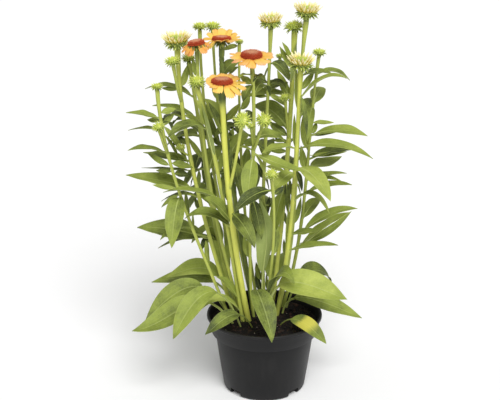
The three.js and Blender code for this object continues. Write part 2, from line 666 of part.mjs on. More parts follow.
function buildStem(stem, number) {
  const [footRadius, tipRadius] = stem.thick;
  const pieces = [bar(stemCurve(stem), footRadius, tipRadius, STEM_SIDES, STEM_STEPS)];
  for (const leaf of stem.leaves) {
    const curve = arch(pointOnStem(stem, leaf.height), new THREE.Vector3(...leaf.tip), leaf.lift);
    pieces.push(leafBlade(curve, leaf, STEM_LEAF_STALK_SHARE, LEAF_STEPS));
  }
  for (const twig of stem.twigs) {
    pieces.push(bar(twigCurve(stem, twig), twig.thick * 1.1, twig.thick, TWIG_SIDES, TWIG_STEPS));
  }
  const heads = [...FLOWERS, ...YOUNG_HEADS, ...BUDS].filter((head) => head.stem === number);
  for (const head of heads) {
    const onTwig = head.twig !== undefined;
    const radius = onTwig ? stem.twigs[head.twig].thick : tipRadius;
    const end = head.rays ? bractRing() : stalkEnd(radius);
    pieces.push(turnedTo(end, headPlace(head), head.lean));
  }
  return joined(pieces);
}

function headPlace(head) {
  const stem = STEMS[head.stem - 1];
  return new THREE.Vector3(...(head.twig === undefined ? stem.tip : stem.twigs[head.twig].tip));
}

function seatHead(name, geometry, material, head) {
  const place = headSeat(headPlace(head), head.lean);
  return addPiece(name, turnedTo(geometry, place, head.lean), material);
}

addPiece('pot', potShell(), COLOURS.pot);

const sockets = [
  ...STEMS.map((stem) => socket(stemCurve(stem), STEM_STEPS, stem.thick[0] + STEM_CLEARANCE)),
  ...BASAL_LEAVES.map((leaf) => socket(basalCurve(leaf), BASAL_STEPS, LEAF_STALK / 2 + STALK_CLEARANCE)),
];
addPiece('compost', compostBody(sockets), COLOURS.compost);

STEMS.forEach((stem, i) => {
  addPiece(`stem_${i + 1}`, buildStem(stem, i + 1), COLOURS.stem);
});

BASAL_LEAVES.forEach((leaf, i) => {
  const geometry = leafBlade(basalCurve(leaf), leaf, BASAL_STALK_SHARE, BASAL_STEPS);
  addPiece(`basal_leaf_${i + 1}`, joined([geometry]), COLOURS.leaf);
});

FLOWERS.forEach((head, i) => {
  seatHead(`flower_${i + 1}_rays`, rayRing(head), COLOURS.ray, head);
  seatHead(`flower_${i + 1}_cone`, flowerCone(head), COLOURS.cone, head);
});

YOUNG_HEADS.forEach((head, i) => {
  seatHead(`young_head_${i + 1}_cup`, youngCup(head.radius), COLOURS.bud, head);
  seatHead(`young_head_${i + 1}_rays`, youngRays(head.radius), COLOURS.youngRay, head);
});

BUDS.forEach((head, i) => {
  seatHead(`bud_${i + 1}`, budHead(head.radius), COLOURS.bud, head);
});

export default plant;
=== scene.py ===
import math
import random
from collections import Counter
from contextlib import contextmanager

import bmesh
import bpy
from mathutils import Matrix, Vector


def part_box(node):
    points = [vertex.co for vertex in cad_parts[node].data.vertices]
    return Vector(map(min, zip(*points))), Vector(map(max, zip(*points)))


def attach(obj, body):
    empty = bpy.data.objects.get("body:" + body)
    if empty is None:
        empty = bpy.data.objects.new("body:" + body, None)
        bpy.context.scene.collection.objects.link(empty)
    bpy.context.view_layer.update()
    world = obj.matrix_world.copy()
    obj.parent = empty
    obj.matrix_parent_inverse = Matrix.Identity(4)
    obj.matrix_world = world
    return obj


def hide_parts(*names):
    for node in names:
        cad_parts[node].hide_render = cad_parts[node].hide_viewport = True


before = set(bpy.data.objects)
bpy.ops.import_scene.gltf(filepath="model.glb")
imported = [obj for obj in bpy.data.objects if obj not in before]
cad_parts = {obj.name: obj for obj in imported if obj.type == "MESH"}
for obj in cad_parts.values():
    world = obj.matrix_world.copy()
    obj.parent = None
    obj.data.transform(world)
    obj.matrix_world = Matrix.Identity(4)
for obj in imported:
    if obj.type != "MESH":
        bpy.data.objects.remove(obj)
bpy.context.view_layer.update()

bl_info = {
    "name": "Potted Coneflower",
    "version": (1, 0, 0),
    "blender": (4, 5, 0),
    "location": "View3D > Sidebar > Coneflower",
    "description": "Grows a coneflower in its nursery pot, leaf by leaf and head by head",
    "category": "Object",
}

BODY = "root"
SEED = 11
CLOSE = 1e-4  # how near its place a point has to lie to be picked, in metres
BENT = "_bent"  # stands in the name of a blank that was bent for one piece
FORMS = 4  # forms of bract in a ring
YOUNG_SPINES = 110  # spines on the middle of a young head
GOLDEN_ANGLE = math.pi * (3 - math.sqrt(5))
UP = Vector((0, 0, 1))

# The studio: the side of its floor in metres, the key light's turn and spread in degrees and the
# width of the camera's sensor in millimetres.
FLOOR_SIDE = 40
KEY_TURN = (42, 12, 0)
KEY_SPREAD = 38
SENSOR_WIDTH = 36

# The tables are in millimetres, with turns in degrees. A stem stands at the foot level and a basal
# leaf's stalk a little above it, and a head sits a little above its stalk's end.
FOOT_LEVEL = 104
LEAF_FOOT_LEVEL = 106
HEAD_SEAT = 3.3

# A stem passes through four points at equal steps of height: three are given by their right and
# back, and its tip in full. Its radius at the foot and at the tip follow, how much it swells under
# its head, its tone, from 0 for dark green to 1 for yellow, and the tone of its top. A low tone
# also paints shade onto a stem and a high one paints sunlight.
STEMS = (
    ((-24, -6), (-46, -20), (-60, -35), (-66, -50, 523), 4.8, 4.4, 1.6, 0.95, 0.1),
    ((-17, 30), (-40, 28), (-61, 25), (-68, 24, 577), 3.9, 3.9, 1.1, 0.15, 0.15),
    ((-16, 8), (-24, -5), (-19, -15), (-21.5, -25, 556), 2.6, 2.8, 1, 0.6, 0.6),
    ((-34, 22), (-73, 12), (-96, -2), (-105, -14, 578), 3.2, 2.4, 1.1, 0.6, 0.3),
    ((-47, 14), (-91, 18), (-123, 18), (-137, 20, 568), 3.3, 3.2, 1.8, 0.75, 0.75),
    ((-34, -8), (-54, -8), (-75, -20), (-105, -29, 520), 3.6, 3.2, 1.1, 0.7, 0.7),
    ((-43, 40), (-79, 42), (-100, 38), (-120, 30, 545), 3.6, 2.8, 1.1, 0.5, 0.5),
    ((-28, 48), (-68, 60), (-94, 60), (-103, 50, 592), 3.1, 2.3, 1.1, 0.55, 0.55),
    ((-16, 58), (-50, 76), (-73, 82), (-84, 78, 587), 3.2, 2, 1.1, 0.5, 0.5),
    ((2, 42), (-3, 42), (2, 41), (8.5, 42, 597), 3.5, 2.4, 1.6, 0.5, 0.5),
    ((20, 34), (47, 40), (54, 46), (64, 48, 607), 3.8, 2.8, 1.8, 0.55, 0.55),
    ((10, 26), (28, 44), (40, 60), (47, 70, 587), 3.7, 3.9, 1.2, 0.75, 0.75),
    ((18, 12), (39, 8), (49, 4), (54, 0, 540), 4, 3.1, 1.8, 0.8, 0.8),
    ((28, 46), (60, 56), (73, 60), (86, 64, 548), 3.2, 2, 1.1, 0.45, 0.45),
    ((-52, -4), (-102, -4), (-146, -4), (-168, 0, 507), 2.7, 2.5, 1.1, 0.6, 0.6),
    ((-2, 20), (9, -10), (14, -34), (9, -62, 385), 2.8, 2, 1.1, 0.6, 0.6),
    ((-8, 56), (-30, 62), (-40, 66), (-41, 62, 567), 3, 1.9, 1.1, 0.6, 0.6),
)

# A twig is the number of its stem, its height on it, its tip, the lift of its arch and its radius.
TWIGS = (
    (1, 352, (-36, -62, 472), -16, 2.3), (3, 415, (-4, -46, 468), -8, 2.2),
    (3, 421, (-22, -40, 456), -4, 1.8), (5, 484, (-142, -4, 547), -10, 2.4),
    (5, 396, (-133, -2, 411), -2, 1.6), (12, 412, (32, 28, 484), -4, 2),
    (12, 520, (24, 74, 542), -4, 1.3), (15, 405, (-165, -22, 449), -6, 2),
)

# A stem leaf is the number of its stem, its height on it, its tip, the lift of its arch, its width
# and its roll. Where its tone isn't left to chance, it comes last, from 0 for dark green to 1 for
# pale; these tones are partly the leaf's own green and partly painted shade and painted light.
STEM_LEAVES = (
    (1, 287, (-128, -28, 306), 36, 24, 20), (1, 296, (-95, -66, 353), 16, 28, 50),
    (1, 316, (-16, -84, 277), 18, 26, -20), (2, 437, (-97, 52, 482), 13, 26, 25),
    (2, 392, (-24, 62, 420), 20, 26, -20), (2, 398, (-36, 6, 320), 26, 24, 0, 0.25),
    (3, 536, (-40, -62, 541), 6, 12, 0), (3, 531, (0, -2, 524), 12, 12, 0),
    (3, 503, (8, 16, 494), 40, 22, -20), (3, 432, (34, 6, 420), 24, 26, -20),
    (3, 411, (60, -52, 391), -6, 21, -25), (3, 406, (-28, -66, 340), 26, 26, 0),
    (4, 372, (-72, 74, 398), 22, 24, 0), (5, 388, (-196, 26, 400), -2, 28, 5),
    (5, 456, (-164, 68, 442), 22, 26, 10), (5, 372, (-203, 52, 366), 0, 14, 0),
    (5, 340, (-225, 22, 363), 3, 32, 20, 0.55), (5, 326, (-171, 42, 311), 18, 18, 0),
    (5, 256, (-213, 48, 263), 8, 42, 24), (6, 452, (-150, -46, 444), 27, 26, 10),
    (6, 396, (-98, -40, 500), -8, 15, 0, 0.8), (6, 331, (-161, -34, 352), 20, 24, 0),
    (7, 488, (-192, 44, 500), 23, 24, 5), (7, 454, (-180, 34, 475), 10, 24, 8),
    (7, 424, (-162, 74, 398), 18, 30, 15), (7, 392, (-118, 92, 344), 28, 28, 10),
    (7, 300, (-130, 106, 312), 32, 28, 5), (7, 368, (-134, 86, 322), 22, 26, 5),
    (7, 334, (-126, 76, 288), 18, 26, 10), (7, 268, (-122, 40, 238), 14, 24, 10),
    (7, 246, (-182, 78, 214), 19, 24, 0), (7, 226, (-98, 84, 279), 8, 28, 0),
    (8, 410, (-150, 110, 424), 26, 28, 0), (8, 262, (-60, 138, 268), 30, 30, 0),
    (9, 468, (-70, 132, 482), 24, 24, 0), (9, 380, (-112, 98, 368), 14, 26, 15),
    (9, 350, (-106, 102, 318), 20, 26, 10), (9, 330, (-66, 140, 322), 30, 30, 0),
    (10, 496, (38, 78, 502), 14, 24, -10), (10, 541, (38, 18, 518), 22, 20, -20),
    (10, 380, (8, 124, 390), 30, 26, 0), (10, 420, (20, 86, 404), 16, 20, -10),
    (10, 399, (-34, 18, 418), 14, 24, 10), (10, 318, (-12, 12, 246), 22, 26, 0),
    (10, 306, (38, 84, 256), 20, 26, 0), (10, 290, (22, 132, 276), 34, 32, 0),
    (11, 521, (106, 38, 526), 8, 20, -10), (11, 400, (169, -22, 403), 31, 22, -15, 0.6),
    (11, 448, (88, 116, 462), 24, 26, 0), (12, 494, (50, 60, 572), -6, 14, 0, 0.75),
    (12, 483, (-34, 46, 484), 16, 22, 15), (12, 427, (-20, 88, 460), 27, 38, 30),
    (12, 330, (14, 16, 258), 30, 24, 0), (12, 404, (40, 112, 386), 18, 24, 10),
    (12, 352, (54, 132, 356), 28, 30, 0), (12, 160, (26, 112, 184), 44, 38, 10),
    (13, 413, (-6, -30, 414), 13, 20, 10, 0.7), (13, 373, (9, -46, 354), 14, 24, 15, 0.7),
    (13, 494, (124, -22, 531), 31, 20, -5), (13, 381, (100, -72, 350), 28, 34, 0, 0.8),
    (13, 322, (102, -32, 316), 46, 20, 0), (13, 266, (88, 2, 275), 0, 20, -10),
    (13, 238, (117, -34, 263), 7, 24, -10), (14, 520, (136, 52, 512), 20, 20, -10),
    (14, 469, (98, 128, 484), 10, 24, -10), (14, 465, (66, -4, 425), 30, 15, 0),
    (14, 419, (165, 30, 426), 17, 28, -15), (14, 378, (144, 78, 389), 10, 24, -10),
    (14, 366, (132, 112, 368), -6, 26, -12), (14, 342, (136, 54, 356), 6, 20, -10),
    (14, 322, (142, 26, 345), 11, 24, -15), (14, 272, (98, 104, 296), 14, 22, -15),
    (14, 248, (157, 66, 290), 26, 24, -15), (14, 224, (138, 8, 304), 8, 32, -25, 0.7),
    (15, 464, (-216, -20, 477), 2, 22, 8), (15, 444, (-218, 16, 439), 7, 15, 0),
    (15, 407, (-214, -30, 419), 12, 18, 5), (15, 332, (-147, -66, 270), 50, 30, 0, 0.42),
    (15, 282, (-166, -50, 278), 15, 20, 0), (16, 362, (-48, -88, 338), 18, 26, 20, 0.12),
    (16, 152, (47, -62, 207), 66, 32, -25), (17, 540, (-70, 40, 519), 14, 22, 25),
    (17, 440, (-62, 36, 449), 16, 22, 10), (17, 432, (-84, 58, 414), 18, 24, 15),
    (17, 420, (-12, 96, 392), 16, 26, -10), (17, 396, (-66, 34, 356), 22, 24, 0),
    (17, 300, (-8, 140, 330), 20, 28, 0),
)

# Smaller leaves that fill the clump between the stems, in the same order. Their tones paint the
# clump's shade and light: low where it lies in shade, high where it is lit.
INNER_LEAVES = (
    (3, 522, (-35, -43, 499), 10, 16, 0, 0.2), (3, 522, (-3, -33, 531), 19, 13, -20, 0.1),
    (10, 495, (-16, 34, 510), 13, 10, 10, 0.1), (10, 506, (33, 30, 504), 15, 15, -20, 0.1),
    (1, 442, (-87, -52, 501), 7, 15, 65, 0.2), (17, 409, (-61, 50, 459), 22, 19, 55, 0.2),
    (3, 457, (-32, -10, 477), 12, 12, 50, 0), (17, 419, (-63, 56, 432), 7, 13, 15, 0.1),
    (3, 415, (-43, -30, 424), 3, 12, 10, 0.8), (1, 380, (-53, -29, 426), 2, 10, -70, 0.15),
    (17, 294, (-47, 73, 390), 9, 15, 70, 0.1), (10, 348, (-14, 52, 376), 3, 10, 60, 0),
    (3, 412, (3, -25, 369), 10, 9, 0, 0.9), (10, 275, (9, 54, 316), -4, 10, -60, 0),
    (7, 328, (-101, 51, 393), 0, 15, 65, 0.1), (3, 261, (-21, 1, 322), 5, 13, 60, 0.1),
    (15, 454, (-147, 20, 437), 21, 16, -20, 0.1), (5, 427, (-149, 42, 401), 24, 18, 30, 0),
    (5, 454, (-152, 48, 433), 19, 16, 25, 0.1), (13, 503, (65, -13, 436), 29, 10, 0, 0.1),
    (13, 377, (59, -12, 345), 16, 10, 0, 0.1), (12, 348, (39, 39, 288), 16, 11, 0, 0.15),
    (12, 538, (27, 62, 572), 0, 10, 60, 0.6), (7, 237, (-107, 28, 227), 34, 14, 25, 0.1),
    (7, 161, (-86, 36, 252), -5, 19, 65, 0.75), (6, 154, (-79, -20, 202), 17, 18, 45, 0.5),
    (6, 133, (-110, -50, 151), 52, 18, 25, 0.75), (3, 338, (-5, -27, 269), 13, 21, -25, 0.15),
    (5, 502, (-133, 27, 577), -36, 10, 70, 0.7), (12, 526, (23, 75, 563), -2, 10, 57, 0.7),
    (7, 513, (-115, 40, 549), -12, 9, 70, 0.7), (10, 539, (-5, 56, 500), 6, 9, 61, 0.4),
    (13, 468, (48, 10, 545), -36, 9, 69, 0.7), (12, 477, (20, 72, 525), -6, 14, 59, 0.7),
    (11, 496, (79, 55, 527), -4, 11, -55, 0.7), (3, 522, (-40, -15, 534), -2, 11, 50, 0.7),
    (5, 504, (-165, 33, 504), -2, 9, 38, 0.4), (10, 488, (-19, 56, 485), 0, 9, 35, 0.4),
    (10, 491, (35, 50, 470), 4, 11, -49, 0.7), (17, 460, (-24, 74, 484), -10, 11, -56, 0.7),
    (2, 452, (-40, 33, 479), -4, 12, -54, 0.7), (15, 472, (-140, 6, 477), -2, 12, -43, 0.7),
    (9, 395, (-98, 96, 465), -24, 11, 60, 0.4), (15, 458, (-186, 6, 459), 0, 10, 38, 0.7),
    (13, 406, (46, 12, 467), -26, 9, 68, 0.7), (14, 440, (114, 69, 438), 0, 10, -35, 0.7),
    (14, 391, (62, 68, 450), -26, 13, 65, 0.7), (12, 417, (6, 67, 441), -4, 15, 50, 0.4),
    (15, 455, (-122, 12, 383), 10, 13, -56, 0.4), (2, 440, (-52, 39, 418), 12, 10, -56, 0.2),
    (14, 418, (131, 68, 427), -2, 9, -41, 0.7), (7, 382, (-126, 47, 421), -2, 9, 56, 0.7),
    (17, 355, (-27, 73, 397), -16, 16, -63, 0.4), (12, 392, (9, 71, 389), 0, 11, 36, 0.4),
    (14, 356, (60, 67, 400), -16, 12, 64, 0.7), (14, 385, (137, 68, 389), -4, 9, -38, 0.7),
    (15, 386, (-187, 4, 405), -4, 10, 47, 0.4), (6, 378, (-69, -12, 410), -10, 10, -65, 0.4),
    (15, 391, (-115, 10, 379), 0, 14, -40, 0.4), (10, 372, (34, 50, 360), 2, 9, -43, 0.7),
    (15, 376, (-175, 10, 374), 0, 9, 37, 0.2), (15, 373, (-120, 10, 367), 0, 15, -37, 0.05),
    (5, 341, (-107, 32, 371), -10, 12, -67, 0.2), (14, 349, (129, 67, 338), 6, 9, -40, 0.7),
    (1, 330, (-69, -15, 382), -20, 9, 63, 0.2), (8, 314, (-89, 75, 349), -26, 9, 62, 0.2),
    (15, 347, (-181, 4, 352), -2, 9, 40, 0.7), (11, 340, (60, 57, 315), 14, 10, -60, 0.4),
    (16, 353, (30, -37, 363), -2, 9, -50, 0.05), (15, 297, (-130, 10, 338), 28, 10, 65, 0.2),
    (11, 269, (61, 54, 315), -18, 9, -62, 0.4), (13, 222, (40, 17, 318), 46, 9, -68, 0.7),
    (14, 231, (147, 63, 287), -22, 13, -48, 0.4), (16, 240, (22, -13, 291), -34, 9, -64, 0.4),
    (4, 192, (-70, 31, 269), 42, 9, 65, 0.4), (3, 229, (-34, 5, 267), -26, 9, 63, 0.7),
    (15, 215, (-97, 4, 255), 28, 10, 67, 0.7), (10, 143, (-15, 56, 180), -14, 10, 60, 0.05),
    (6, 444, (-107, -40, 505), 6, 14, 65, 0.9), (17, 566, (-71, 70, 556), 2, 11, 42, 0.7),
    (4, 533, (-111, -3, 558), -18, 9, 62, 0.7), (17, 532, (-60, 78, 514), 2, 9, 51, 0.4),
    (5, 507, (-122, 27, 542), -12, 11, -62, 0.7), (10, 509, (-15, 55, 518), -2, 9, 48, 0.2),
    (5, 463, (-107, 26, 453), 2, 9, -44, 0.7), (15, 449, (-142, 12, 467), 4, 9, -53, 0.4),
    (14, 423, (85, 68, 440), -12, 9, -57, 0.7), (2, 425, (-51, 39, 437), -12, 10, -55, 0.4),
    (15, 439, (-137, 11, 393), 6, 9, -56, 0.4), (5, 415, (-140, 32, 425), -2, 10, 51, 0.2),
    (9, 395, (-88, 96, 406), -2, 9, 51, 0.4), (12, 409, (13, 73, 407), 0, 9, 37, 0.4),
    (3, 423, (-35, -8, 425), 0, 9, 43, 0.4), (5, 360, (-121, 32, 338), 12, 10, 61, 0.4),
    (10, 349, (8, 55, 323), 16, 10, -59, 0.05), (13, 330, (40, 20, 358), -8, 9, 65, 0.2),
    (2, 307, (-48, 41, 342), 26, 9, 69, 0.2), (15, 338, (-168, 4, 313), 4, 9, 49, 0.4),
    (5, 308, (-114, 32, 321), -12, 9, 56, 0.2), (15, 275, (-116, 4, 303), 22, 9, 69, 0.7),
    (13, 222, (32, 23, 252), -8, 9, 66, 0.4), (15, 210, (-93, 4, 257), 30, 9, 68, 0.7),
    (10, 171, (-14, 50, 200), -22, 9, 60, 0.4), (16, 172, (4, 11, 198), -22, 9, 67, 0.2),
)

# A basal leaf rises from the crown on a long stalk, through four points at equal steps: its foot,
# the knee where the blade begins, its belly and its tip. Its width, its roll, its tone and its
# yellowing follow; the tone is partly the leaf's own green and partly painted light and shade.
BASAL_LEAVES = (
    ((-42, 32), (-76, 31, 182), (-117, 34, 195), (-166, 36, 178), 38, 20, 0.7, 0),
    ((-40, 46), (-84, 54, 162), (-135, 68, 165), (-195, 78, 151), 42, 20, 0.45, 0),
    ((-54, 6), (-102, -2, 176), (-152, -20, 168), (-195, -40, 132), 40, 30, 0.34, 0),
    ((-46, -14), (-100, -34, 165), (-151, -60, 153), (-212, -84, 136), 44, 26, 0.38, 0),
    ((-36, -24), (-78, -62, 194), (-117, -92, 181), (-144, -120, 139), 36, 24, 0.48, 0),
    ((-16, -28), (-42, -56, 152), (-70, -80, 151), (-95, -98, 136), 26, 25, 0.18, 0),
    ((8, -12), (23, -26, 190), (76, -46, 197), (131, -64, 182), 50, -36, 0.78, 0),
    ((36, 44), (61, 60, 163), (94, 73, 175), (117, 84, 145), 36, -20, 0.25, 0),
    ((30, 20), (50, 18, 148), (101, 4, 145), (163, -4, 121), 38, -20, 0.42, 0),
    ((2, -22), (-14, -48, 191), (0, -90, 172), (10, -114, 130), 35, 0, 0.22, 0),
    ((22, -12), (43, -48, 140), (69, -72, 139), (97, -96, 119), 28, -20, 0.3, 1),
    ((4, 8), (-3, -2, 203), (3, -10, 264), (-10, -24, 339), 34, 5, 1, 0),
)

# lean tips a head towards the front and to the right. cone is the radius of its cone, dome the
# height of the cone's top, petal the length of its petals, wide their width, and raise lifts the
# head on its neck. tone goes from 0 for orange petals to 1 for golden ones, and blush is the pink
# at their ends. rays are the petals, each as its heading, 0 to the right and 90 to the back, the
# height of its tip over its base and, where it isn't as long as the others, its share of length.
FLOWERS = (
    {
        "stem": 4, "lean": (3, -8), "cone": 13, "dome": 2.8, "raise": 0,
        "petal": 19, "wide": 11.2, "tone": 0.15, "blush": 0.25,
        "rays": (
            (-50, -13), (-20, -10, 0.8), (8, -6, 0.8), (36, -5, 0.9), (66, -5), (96, -5), (126, -5),
            (154, -6), (182, -9), (208, -12), (232, -14),
        ),
    },
    {
        "stem": 2, "lean": (0, 0), "cone": 15.5, "dome": 2, "raise": 1,
        "petal": 20.5, "wide": 10.5, "tone": 0.7, "blush": 0.15,
        "rays": (
            (-14, 2), (14, 4), (40, 8), (64, 13), (88, 14), (112, 13), (138, 8), (164, 0),
            (190, -8), (216, -12), (250, 3, 0.8), (282, 4, 0.8), (316, 2),
        ),
    },
    {
        "stem": 3, "lean": (5, 0), "cone": 17, "dome": 5.5, "raise": 5,
        "petal": 22.5, "wide": 12.5, "tone": 0.62, "blush": 0.45,
        "rays": (
            (-90, -9), (-62, -5), (-36, -4), (-8, 1), (20, 2), (48, 0), (76, -2), (104, -2),
            (132, 0), (160, 2), (188, 1), (214, -4), (242, -5),
        ),
    },
    {
        "stem": 1, "lean": (2, 0), "cone": 17, "dome": 4, "raise": 3,
        "petal": 24, "wide": 12.5, "tone": 0.75, "blush": 0.2,
        "rays": (
            (-62, -17, 1.05), (-36, -14, 1.1), (-10, -8, 1.1), (16, -1), (42, 5, 0.9), (66, 7, 0.9),
            (92, 7, 0.9), (118, 7, 0.8), (146, 5, 0.65), (174, 3, 0.55), (201, 0, 0.5),
            (226, -4, 0.5), (254, -10, 0.7),
        ),
    },
)

# Heads that are just opening: the stem that carries each, its lean, its radius, how far it is
# raised on its neck and how far its lower bracts spread.
YOUNG_HEADS = (
    (5, (6, -3), 16.5, 4, 1), (10, (4, -2), 14, 2, 1), (11, (3, 4), 15.5, 6, 1),
    (13, (9, 2), 15, 2, 1.15),
)

# Buds: the stem that carries each, its lean, its radius and, where it sits on a twig of that stem,
# which twig, counted from 0.
BUDS = (
    (8, (6, 0), 11), (9, (4, 4), 12.5), (12, (8, -4), 16), (14, (6, 4), 10.5), (5, (10, -6), 12, 0),
    (7, (8, 0), 11.2), (6, (14, 0), 13.5), (15, (8, -4), 9), (1, (50, 8), 13, 0),
    (3, (45, 10), 12, 0), (12, (12, -6), 9, 0), (15, (24, -8), 9.5, 0), (16, (30, 4), 10),
)

# Small side buds, in the same order.
SIDE_BUDS = (
    (17, (4, 0), 6.5), (3, (20, 0), 6.5, 1), (5, (20, -6), 7.5, 1), (12, (6, 0), 6.2, 1),
)

# A leaf is laid out in columns along it, the first of them its stalk, and rows across it.
LEAF_COLUMNS = 34
STALK_COLUMNS = 5
LEAF_ROWS = 12

# How far out the side veins of a leaf lie, from 0 at its midrib to 1 at its edge. They follow rows.
VEIN_PLACES = tuple(2 * row / LEAF_ROWS for row in (2, 4))

# The share of a stem leaf's length that its stalk takes.
STEM_STALK_SHARE = 0.1

# How far the end of a petal is cut back, at ways from its edge (-0.5) to its middle (0).
PETAL_NOTCHES = ((-0.5, 0.15), (-0.4, 0.05), (-0.3, 0), (-0.2, 0.11), (-0.1, 0.03), (0, 0))


def daylight(red, green, blue):
    """The linear colour of a tint that is given as three numbers up to 255."""
    return tuple(((part / 255 + 0.055) / 1.055) ** 2.4 for part in (red, green, blue))


def measure(label, about, default, **more):
    return bpy.props.FloatProperty(name=label, description=about, default=default, **more)


def size(label, about, default):
    return measure(label, about, default, min=0, unit="LENGTH", precision=4)


def share(label, about, default):
    return measure(label, about, default, min=0, max=1, subtype="FACTOR")


def tint(label, about, *parts):
    return bpy.props.FloatVectorProperty(
        name=label, description=about, default=daylight(*parts), subtype="COLOR", min=0, max=1
    )


def count(label, about, default):
    return bpy.props.IntProperty(name=label, description=about, default=default, min=0)


class PotSettings(bpy.types.PropertyGroup):
    """The moulded nursery pot"""

    rim: size("Rim radius", "Radius over the rolled lip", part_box("pot")[1].x)
    height: size("Height", "Height of the pot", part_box("pot")[1].z)
    collar_top: size("Collar top radius", "Radius of the collar under the lip", 0.094)
    collar_low: size("Collar low radius", "Radius at the collar's lower edge", 0.0885)
    collar_level: size("Collar level", "Height of the collar's lower edge", 0.1)
    body_top: size("Body top radius", "Radius of the body under the collar", 0.0825)
    base: size("Base radius", "Radius of the base", 0.069)
    base_rounding: size("Base rounding", "Rounding of the lower edge", 0.006)
    wall: size("Wall", "Thickness of the moulded wall", 0.0022)
    notch_width: size("Notch width", "Width of a drain notch", 0.027)
    notch_height: size("Notch height", "Height of a drain notch", 0.0112)
    plastic: tint("Plastic", "Colour of the plastic", 15, 15, 16)
    # Colour of dust on the plastic, and of the painted highlight along the lip.
    scuffed: tint("Scuffed plastic", "Colour where the plastic is rubbed or dusty", 38, 37, 36)


class CompostSettings(bpy.types.PropertyGroup):
    """The compost and its crumbs"""

    level: size("Level", "Height of the compost at the wall", 0.115)
    crown: size("Crown", "Height of the compost at the middle", 0.119)
    radius: size("Radius", "Radius of the compost's surface", 0.0884)
    crumbs: count("Crumbs", "Number of loose crumbs", 620)
    specks: count("Specks", "Number of pale mineral specks", 46)
    dark: tint("Dark", "Colour of moist peat", 19, 15, 13)
    brown: tint("Brown", "Colour of bark crumbs", 62, 42, 32)
    pale: tint("Pale", "Colour of mineral specks", 205, 196, 180)


class StemSettings(bpy.types.PropertyGroup):
    """Stems, twigs and leaf stalks"""

    rib: share("Rib", "Depth of the ribs along a stem, as a share of its radius", 0.06)
    # The dark colour is partly a dark stem's own and partly painted shade, and the yellow partly
    # painted sunlight.
    deep: tint("Deep", "Colour of a shaded, dark stem", 76, 92, 38)
    green: tint("Green", "Colour of most stems", 172, 182, 86)
    yellow: tint("Yellow", "Colour of a ripe, sunlit stem", 214, 216, 96)


class LeafSettings(bpy.types.PropertyGroup):
    """Leaf blades"""

    fold: share("Fold", "Rise of a blade from midrib to margin, as a share of its width", 0.13)
    breadth: measure("Breadth", "Width of a leaf to that in the table", 1, min=0)
    ripple: share("Ripple", "Height of the waves along the margin, as a share of the width", 0.035)
    vein: share("Vein", "Depth of a side vein, as a share of the width", 0.009)
    # The dark colour is also the painted shade of leaves deep in the clump, and the pale one also
    # the painted light on lit leaves.
    deep: tint("Deep", "Colour of a dark leaf", 46, 58, 24)
    fresh: tint("Fresh", "Colour of most leaves", 140, 154, 64)
    pale: tint("Pale", "Colour of a young, pale leaf", 180, 190, 92)
    veins: tint("Veins", "Colour of the midrib and veins", 182, 192, 118)
    underside: tint("Underside", "Colour of a leaf from below", 152, 166, 94)
    aged: tint("Aged", "Colour of a yellowing part", 208, 200, 84)


class FlowerSettings(bpy.types.PropertyGroup):
    """Open flowers"""

    spines: count("Spines", "Number of spines on a cone", 330)
    orange: tint("Orange", "Colour of the most orange petals", 230, 162, 70)
    gold: tint("Gold", "Colour of the most golden petals", 240, 206, 96)
    throat: tint("Throat", "Colour at the foot of a petal", 232, 118, 46)
    blush: tint("Blush", "Pink colour at the ends of some petals", 250, 176, 150)
    cone: tint("Cone", "Colour of a cone's sides", 164, 62, 28)
    ember: tint("Spine tips", "Colour of the tips of a cone's spines", 204, 88, 52)
    # The cone top colour is a painted highlight on the top of the cone.
    crown: tint("Cone top", "Colour at the middle of a cone", 216, 166, 128)


class GreenSettings(bpy.types.PropertyGroup):
    """Bracts, buds and young heads"""

    spines: count("Spines", "Number of spines on a bud", 44)
    shade: tint("Shaded bract", "Colour of dark bracts", 62, 72, 34)
    bract: tint("Bract", "Colour of most bracts", 162, 178, 92)
    bright: tint("Bright", "Yellow-green colour at the middle of a bud", 214, 224, 92)
    tongue: tint("Young petal", "Colour of a young petal", 226, 206, 92)
    cream: tint("Young petal end", "Pale colour at the end of a young petal", 255, 246, 196)
    # The foot colour is partly the petal's own greener foot and partly painted shade in the gaps
    # between the petals.
    foot: tint("Young petal foot", "Colour at the foot of a young petal", 146, 128, 44)


class StudioSettings(bpy.types.PropertyGroup):
    """Floor, light and camera"""

    floor: tint("Floor", "Colour of the floor", 252, 252, 252)
    sky: measure("Sky", "Strength of the light from all round", 0.44)
    sun: measure("Key", "Strength of the soft key light", 2.75)
    eye: bpy.props.FloatVectorProperty(
        name="Camera",
        description="Place of the camera",
        default=(-0.024, -1.6, 0.869),
        subtype="TRANSLATION",
    )
    tilt: measure(
        "Tilt", "Turn of the camera up from straight down", math.radians(71.3), subtype="ANGLE"
    )
    lens: measure("Lens", "Focal length in millimetres", 75.6)


SETTINGS = {
    "coneflower_pot": PotSettings,
    "coneflower_compost": CompostSettings,
    "coneflower_stems": StemSettings,
    "coneflower_leaves": LeafSettings,
    "coneflower_flowers": FlowerSettings,
    "coneflower_greens": GreenSettings,
    "coneflower_studio": StudioSettings,
}


class Value:
    """A number, colour or direction on its way through a finish. A sum on it adds a Math node."""

    def __init__(self, finish, socket):
        self.finish = finish
        self.socket = socket

    def _sum(self, operation, first, second=0.0):
        return self.finish.node("ShaderNodeMath", {"operation": operation}, {0: first, 1: second})

    def __add__(self, other):
        return self._sum("ADD", self, other)

    def __radd__(self, other):
        return self._sum("ADD", other, self)

    def __sub__(self, other):
        return self._sum("SUBTRACT", self, other)

    def __rsub__(self, other):
        return self._sum("SUBTRACT", other, self)

    def __mul__(self, other):
        return self._sum("MULTIPLY", self, other)

    def __rmul__(self, other):
        return self._sum("MULTIPLY", other, self)

    def __abs__(self):
        return self._sum("ABSOLUTE", self)

    def least(self, other):
        return self._sum("MINIMUM", self, other)

    def swing(self, reach):
        """A noise that lies about a half, made to swing about 0."""
        return (self - 0.5) * reach


